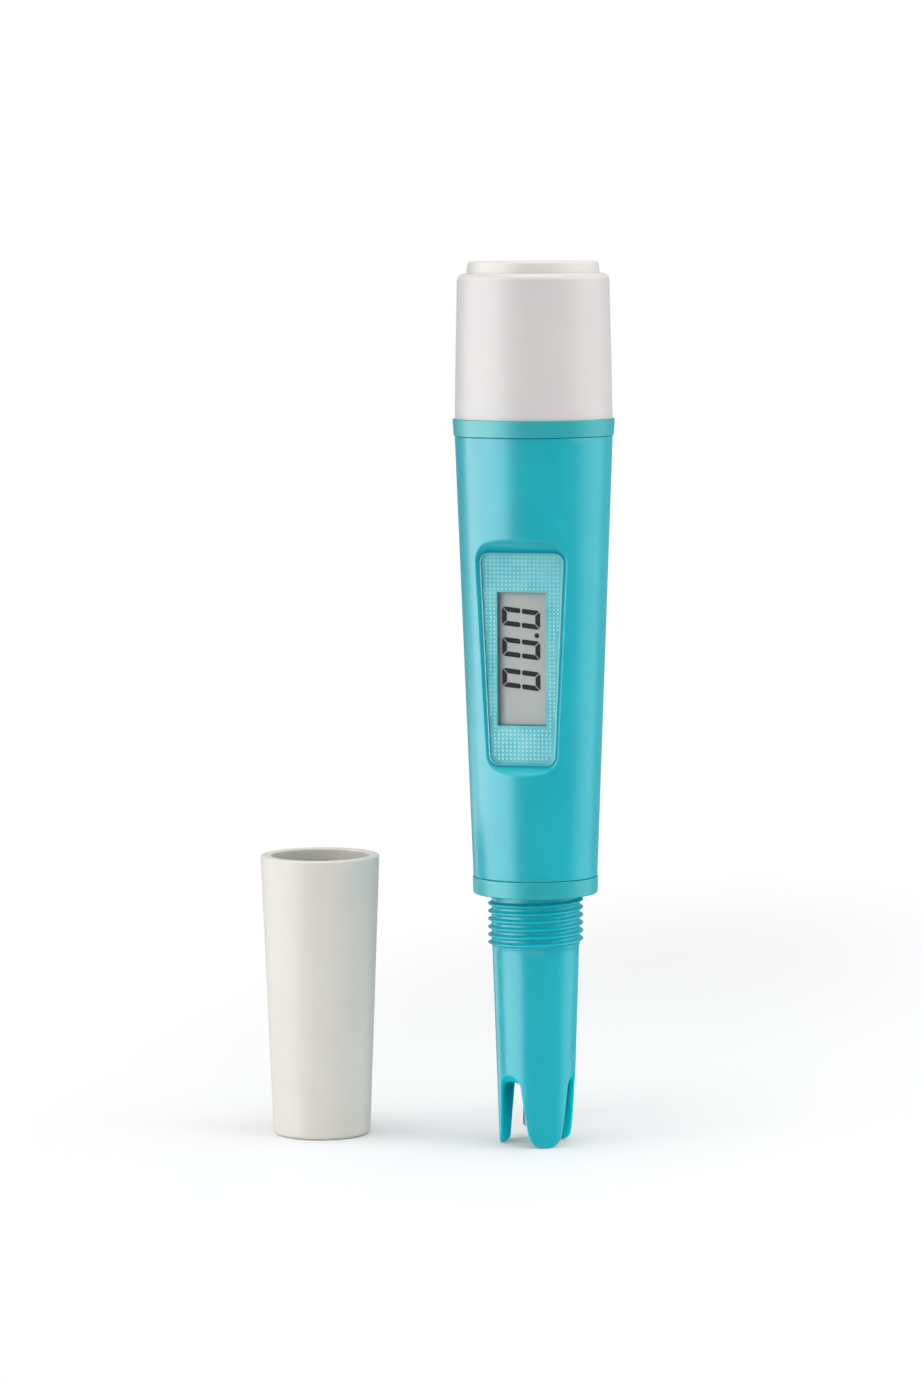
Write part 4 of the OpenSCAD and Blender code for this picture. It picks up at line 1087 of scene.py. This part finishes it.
FINISHES = {
    "lcd_panel": DISPLAY, "lcd_bezel": INNER_WHITE, "contact_strips": STRIP,
    "main_board": BOARD, "processor_chip": BLACK_PLASTIC, "board_parts": STEEL, "lead_wires": WIRE,
    "battery_tray": INNER_WHITE, "tray_screws": STEEL, "button_cells": CELL, "contact_leaf": GOLD,
    "contact_plate": GOLD, "switch_board": BOARD, "switch_housing": BLACK_PLASTIC, "switch_plunger": STEEL,
    "trimmer_body": BLUE, "trimmer_screw": GOLD, "button_seal": BLACK_RUBBER, "button_clip": STEEL,
    "sleeve_o_ring": BLACK_RUBBER, "electrode_holder": HOLDER, "electrodes": ELECTRODE,
    "temperature_sensor": ELECTRODE,
}
SOFT_EDGES = {
    "lcd_bezel": 0.12, "main_board": 0.06, "processor_chip": 0.08, "board_parts": 0.12,
    "battery_tray": 0.15, "tray_screws": 0.06, "button_cells": 0.2, "switch_housing": 0.08,
    "switch_plunger": 0.1, "trimmer_body": 0.12, "trimmer_screw": 0.06, "button_clip": 0.05,
    "electrode_holder": 0.12,
}


def dress_nodes():
    for name, material in FINISHES.items():
        obj = NODES[name]
        obj.data.materials.clear()
        obj.data.materials.append(material)
        if name in SOFT_EDGES:
            bevel = obj.modifiers.new("soft edges", "BEVEL")
            bevel.width = SOFT_EDGES[name] * MM
            bevel.segments = 2
            bevel.limit_method = "ANGLE"
            bevel.angle_limit = math.radians(40)


# Studio


CAMERA_TURN = math.radians(13.97)
CAMERA_PITCH = math.radians(5.28)
CAMERA_ROLL = math.radians(-0.31)
CAMERA_PLACE = (231.6, -995.2, 190.0)
FOCAL_PIXELS = 4911
IMAGE_HEIGHT = 1382


def camera():
    data = bpy.data.cameras.new("camera")
    data.sensor_fit = "VERTICAL"
    data.sensor_height = 36
    data.lens = FOCAL_PIXELS / IMAGE_HEIGHT * data.sensor_height
    data.clip_start = 0.01
    obj = bpy.data.objects.new("camera", data)
    bpy.context.scene.collection.objects.link(obj)
    obj.location = ((PEN[0] + CAMERA_PLACE[0]) * MM, CAMERA_PLACE[1] * MM, CAMERA_PLACE[2] * MM)
    ahead = Vector((
        -math.sin(CAMERA_TURN) * math.cos(CAMERA_PITCH),
        math.cos(CAMERA_TURN) * math.cos(CAMERA_PITCH),
        -math.sin(CAMERA_PITCH),
    ))
    level = ahead.to_track_quat("-Z", "Y")
    obj.rotation_euler = (level @ Quaternion((0, 0, 1), CAMERA_ROLL)).to_euler()
    bpy.context.scene.camera = obj


def softbox(name, place, target, width, height, radiance, gloss_only=False):
    """A soft lamp of even brightness, set by how bright its face is."""
    data = bpy.data.lights.new(name, "AREA")
    data.shape = "RECTANGLE"
    data.size = width
    data.size_y = height
    data.energy = radiance * width * height * math.pi
    obj = bpy.data.objects.new(name, data)
    bpy.context.scene.collection.objects.link(obj)
    obj.location = place
    obj.rotation_euler = (Vector(target) - Vector(place)).to_track_quat("-Z", "Y").to_euler()
    obj.visible_camera = False
    obj.visible_diffuse = not gloss_only


def world():
    """Even light all round, and white where it is seen directly."""
    studio = bpy.data.worlds.new("studio")
    bpy.context.scene.world = studio
    studio.use_nodes = True
    tree = studio.node_tree
    back = tree.nodes["Background"]
    back.inputs["Color"].default_value = (1, 1, 1, 1)
    path = node(tree, "ShaderNodeLightPath")
    seen = combined(tree, "MAXIMUM", path.outputs["Is Camera Ray"], path.outputs["Is Transmission Ray"])
    lit = ranged(tree, path.outputs["Is Glossy Ray"], 0.66, 0.12)
    tree.links.new(combined(tree, "MAXIMUM", seen, lit), back.inputs["Strength"])


def floor():
    """A pale floor that keeps the shadows near the pen and fades into the white background."""
    x0, x1, y0, y1 = -0.16, 0.16, -0.22, 0.5
    mesh = bpy.data.meshes.new("floor")
    mesh.from_pydata([(x0, y0, 0), (x1, y0, 0), (x1, y1, 0), (x0, y1, 0)], [], [(0, 1, 2, 3)])
    obj = bpy.data.objects.new("floor", mesh)
    bpy.context.scene.collection.objects.link(obj)
    material, tree, shader = new_material("floor")
    shader.inputs["Base Color"].default_value = (0.86, 0.865, 0.87, 1)
    shader.inputs["Roughness"].default_value = 0.6
    glow = node(tree, "ShaderNodeEmission", Strength=1.0)
    place = node(tree, "ShaderNodeTexCoord")
    oval = node(tree, "ShaderNodeMapping", vector_type="TEXTURE")
    oval.inputs["Location"].default_value = (0, 0.12, 0)
    oval.inputs["Scale"].default_value = (0.112, 0.34, 1)
    tree.links.new(place.outputs["Object"], oval.inputs["Vector"])
    away = node(tree, "ShaderNodeVectorMath", operation="LENGTH")
    tree.links.new(oval.outputs[0], away.inputs[0])
    fade = ranged(tree, away.outputs["Value"], 0.0, 1.0, 0.25, 1.0, interpolation_type="SMOOTHSTEP")
    path = node(tree, "ShaderNodeLightPath")
    mixed(tree, combined(tree, "MULTIPLY", path.outputs["Is Camera Ray"], fade), shader, glow)
    mesh.materials.append(material)
    obj.visible_glossy = False


def studio():
    camera()
    world()
    floor()
    centre = (PEN[0] * MM, 0, 0.1)
    # Each lamp's place, what it points at, its width and height in metres, and its brightness
    softbox("left_sheen", (-0.72, -0.34, 0.15), centre, 1.4, 1.4, 4.6, gloss_only=True)
    softbox("right_sheen", (0.85, 0.35, 0.2), centre, 0.75, 1.3, 1.5, gloss_only=True)
    softbox("back_left_sheen", (-0.7, 0.45, -0.3), centre, 0.42, 0.6, 2.0, gloss_only=True)
    softbox("backdrop", (PEN[0] * MM, 0.9, 0.1), centre, 1.4, 1.4, 0.2, gloss_only=True)
    softbox("low_sheen", (-0.15, -0.68, -0.76), centre, 1.6, 0.75, 3.0, gloss_only=True)
    softbox("left_softbox", (-0.9, -0.6, 0.5), centre, 0.5, 0.9, 2.0)
    softbox("right_softbox", (0.72, -0.05, 0.42), centre, 0.45, 0.5, 3.0)
    softbox("top_softbox", (0.05, -0.1, 1.0), centre, 0.6, 0.6, 3.6)
    bpy.context.scene.view_settings.view_transform = "Standard"


body_shell()
window_lens()
gasket()
lens_dots()
digits()
head_seal_ring()
foot_seal_ring()
battery_cap()
top_button()
probe_cap()
probe_sleeve()
button_spring()
dress_nodes()
studio()
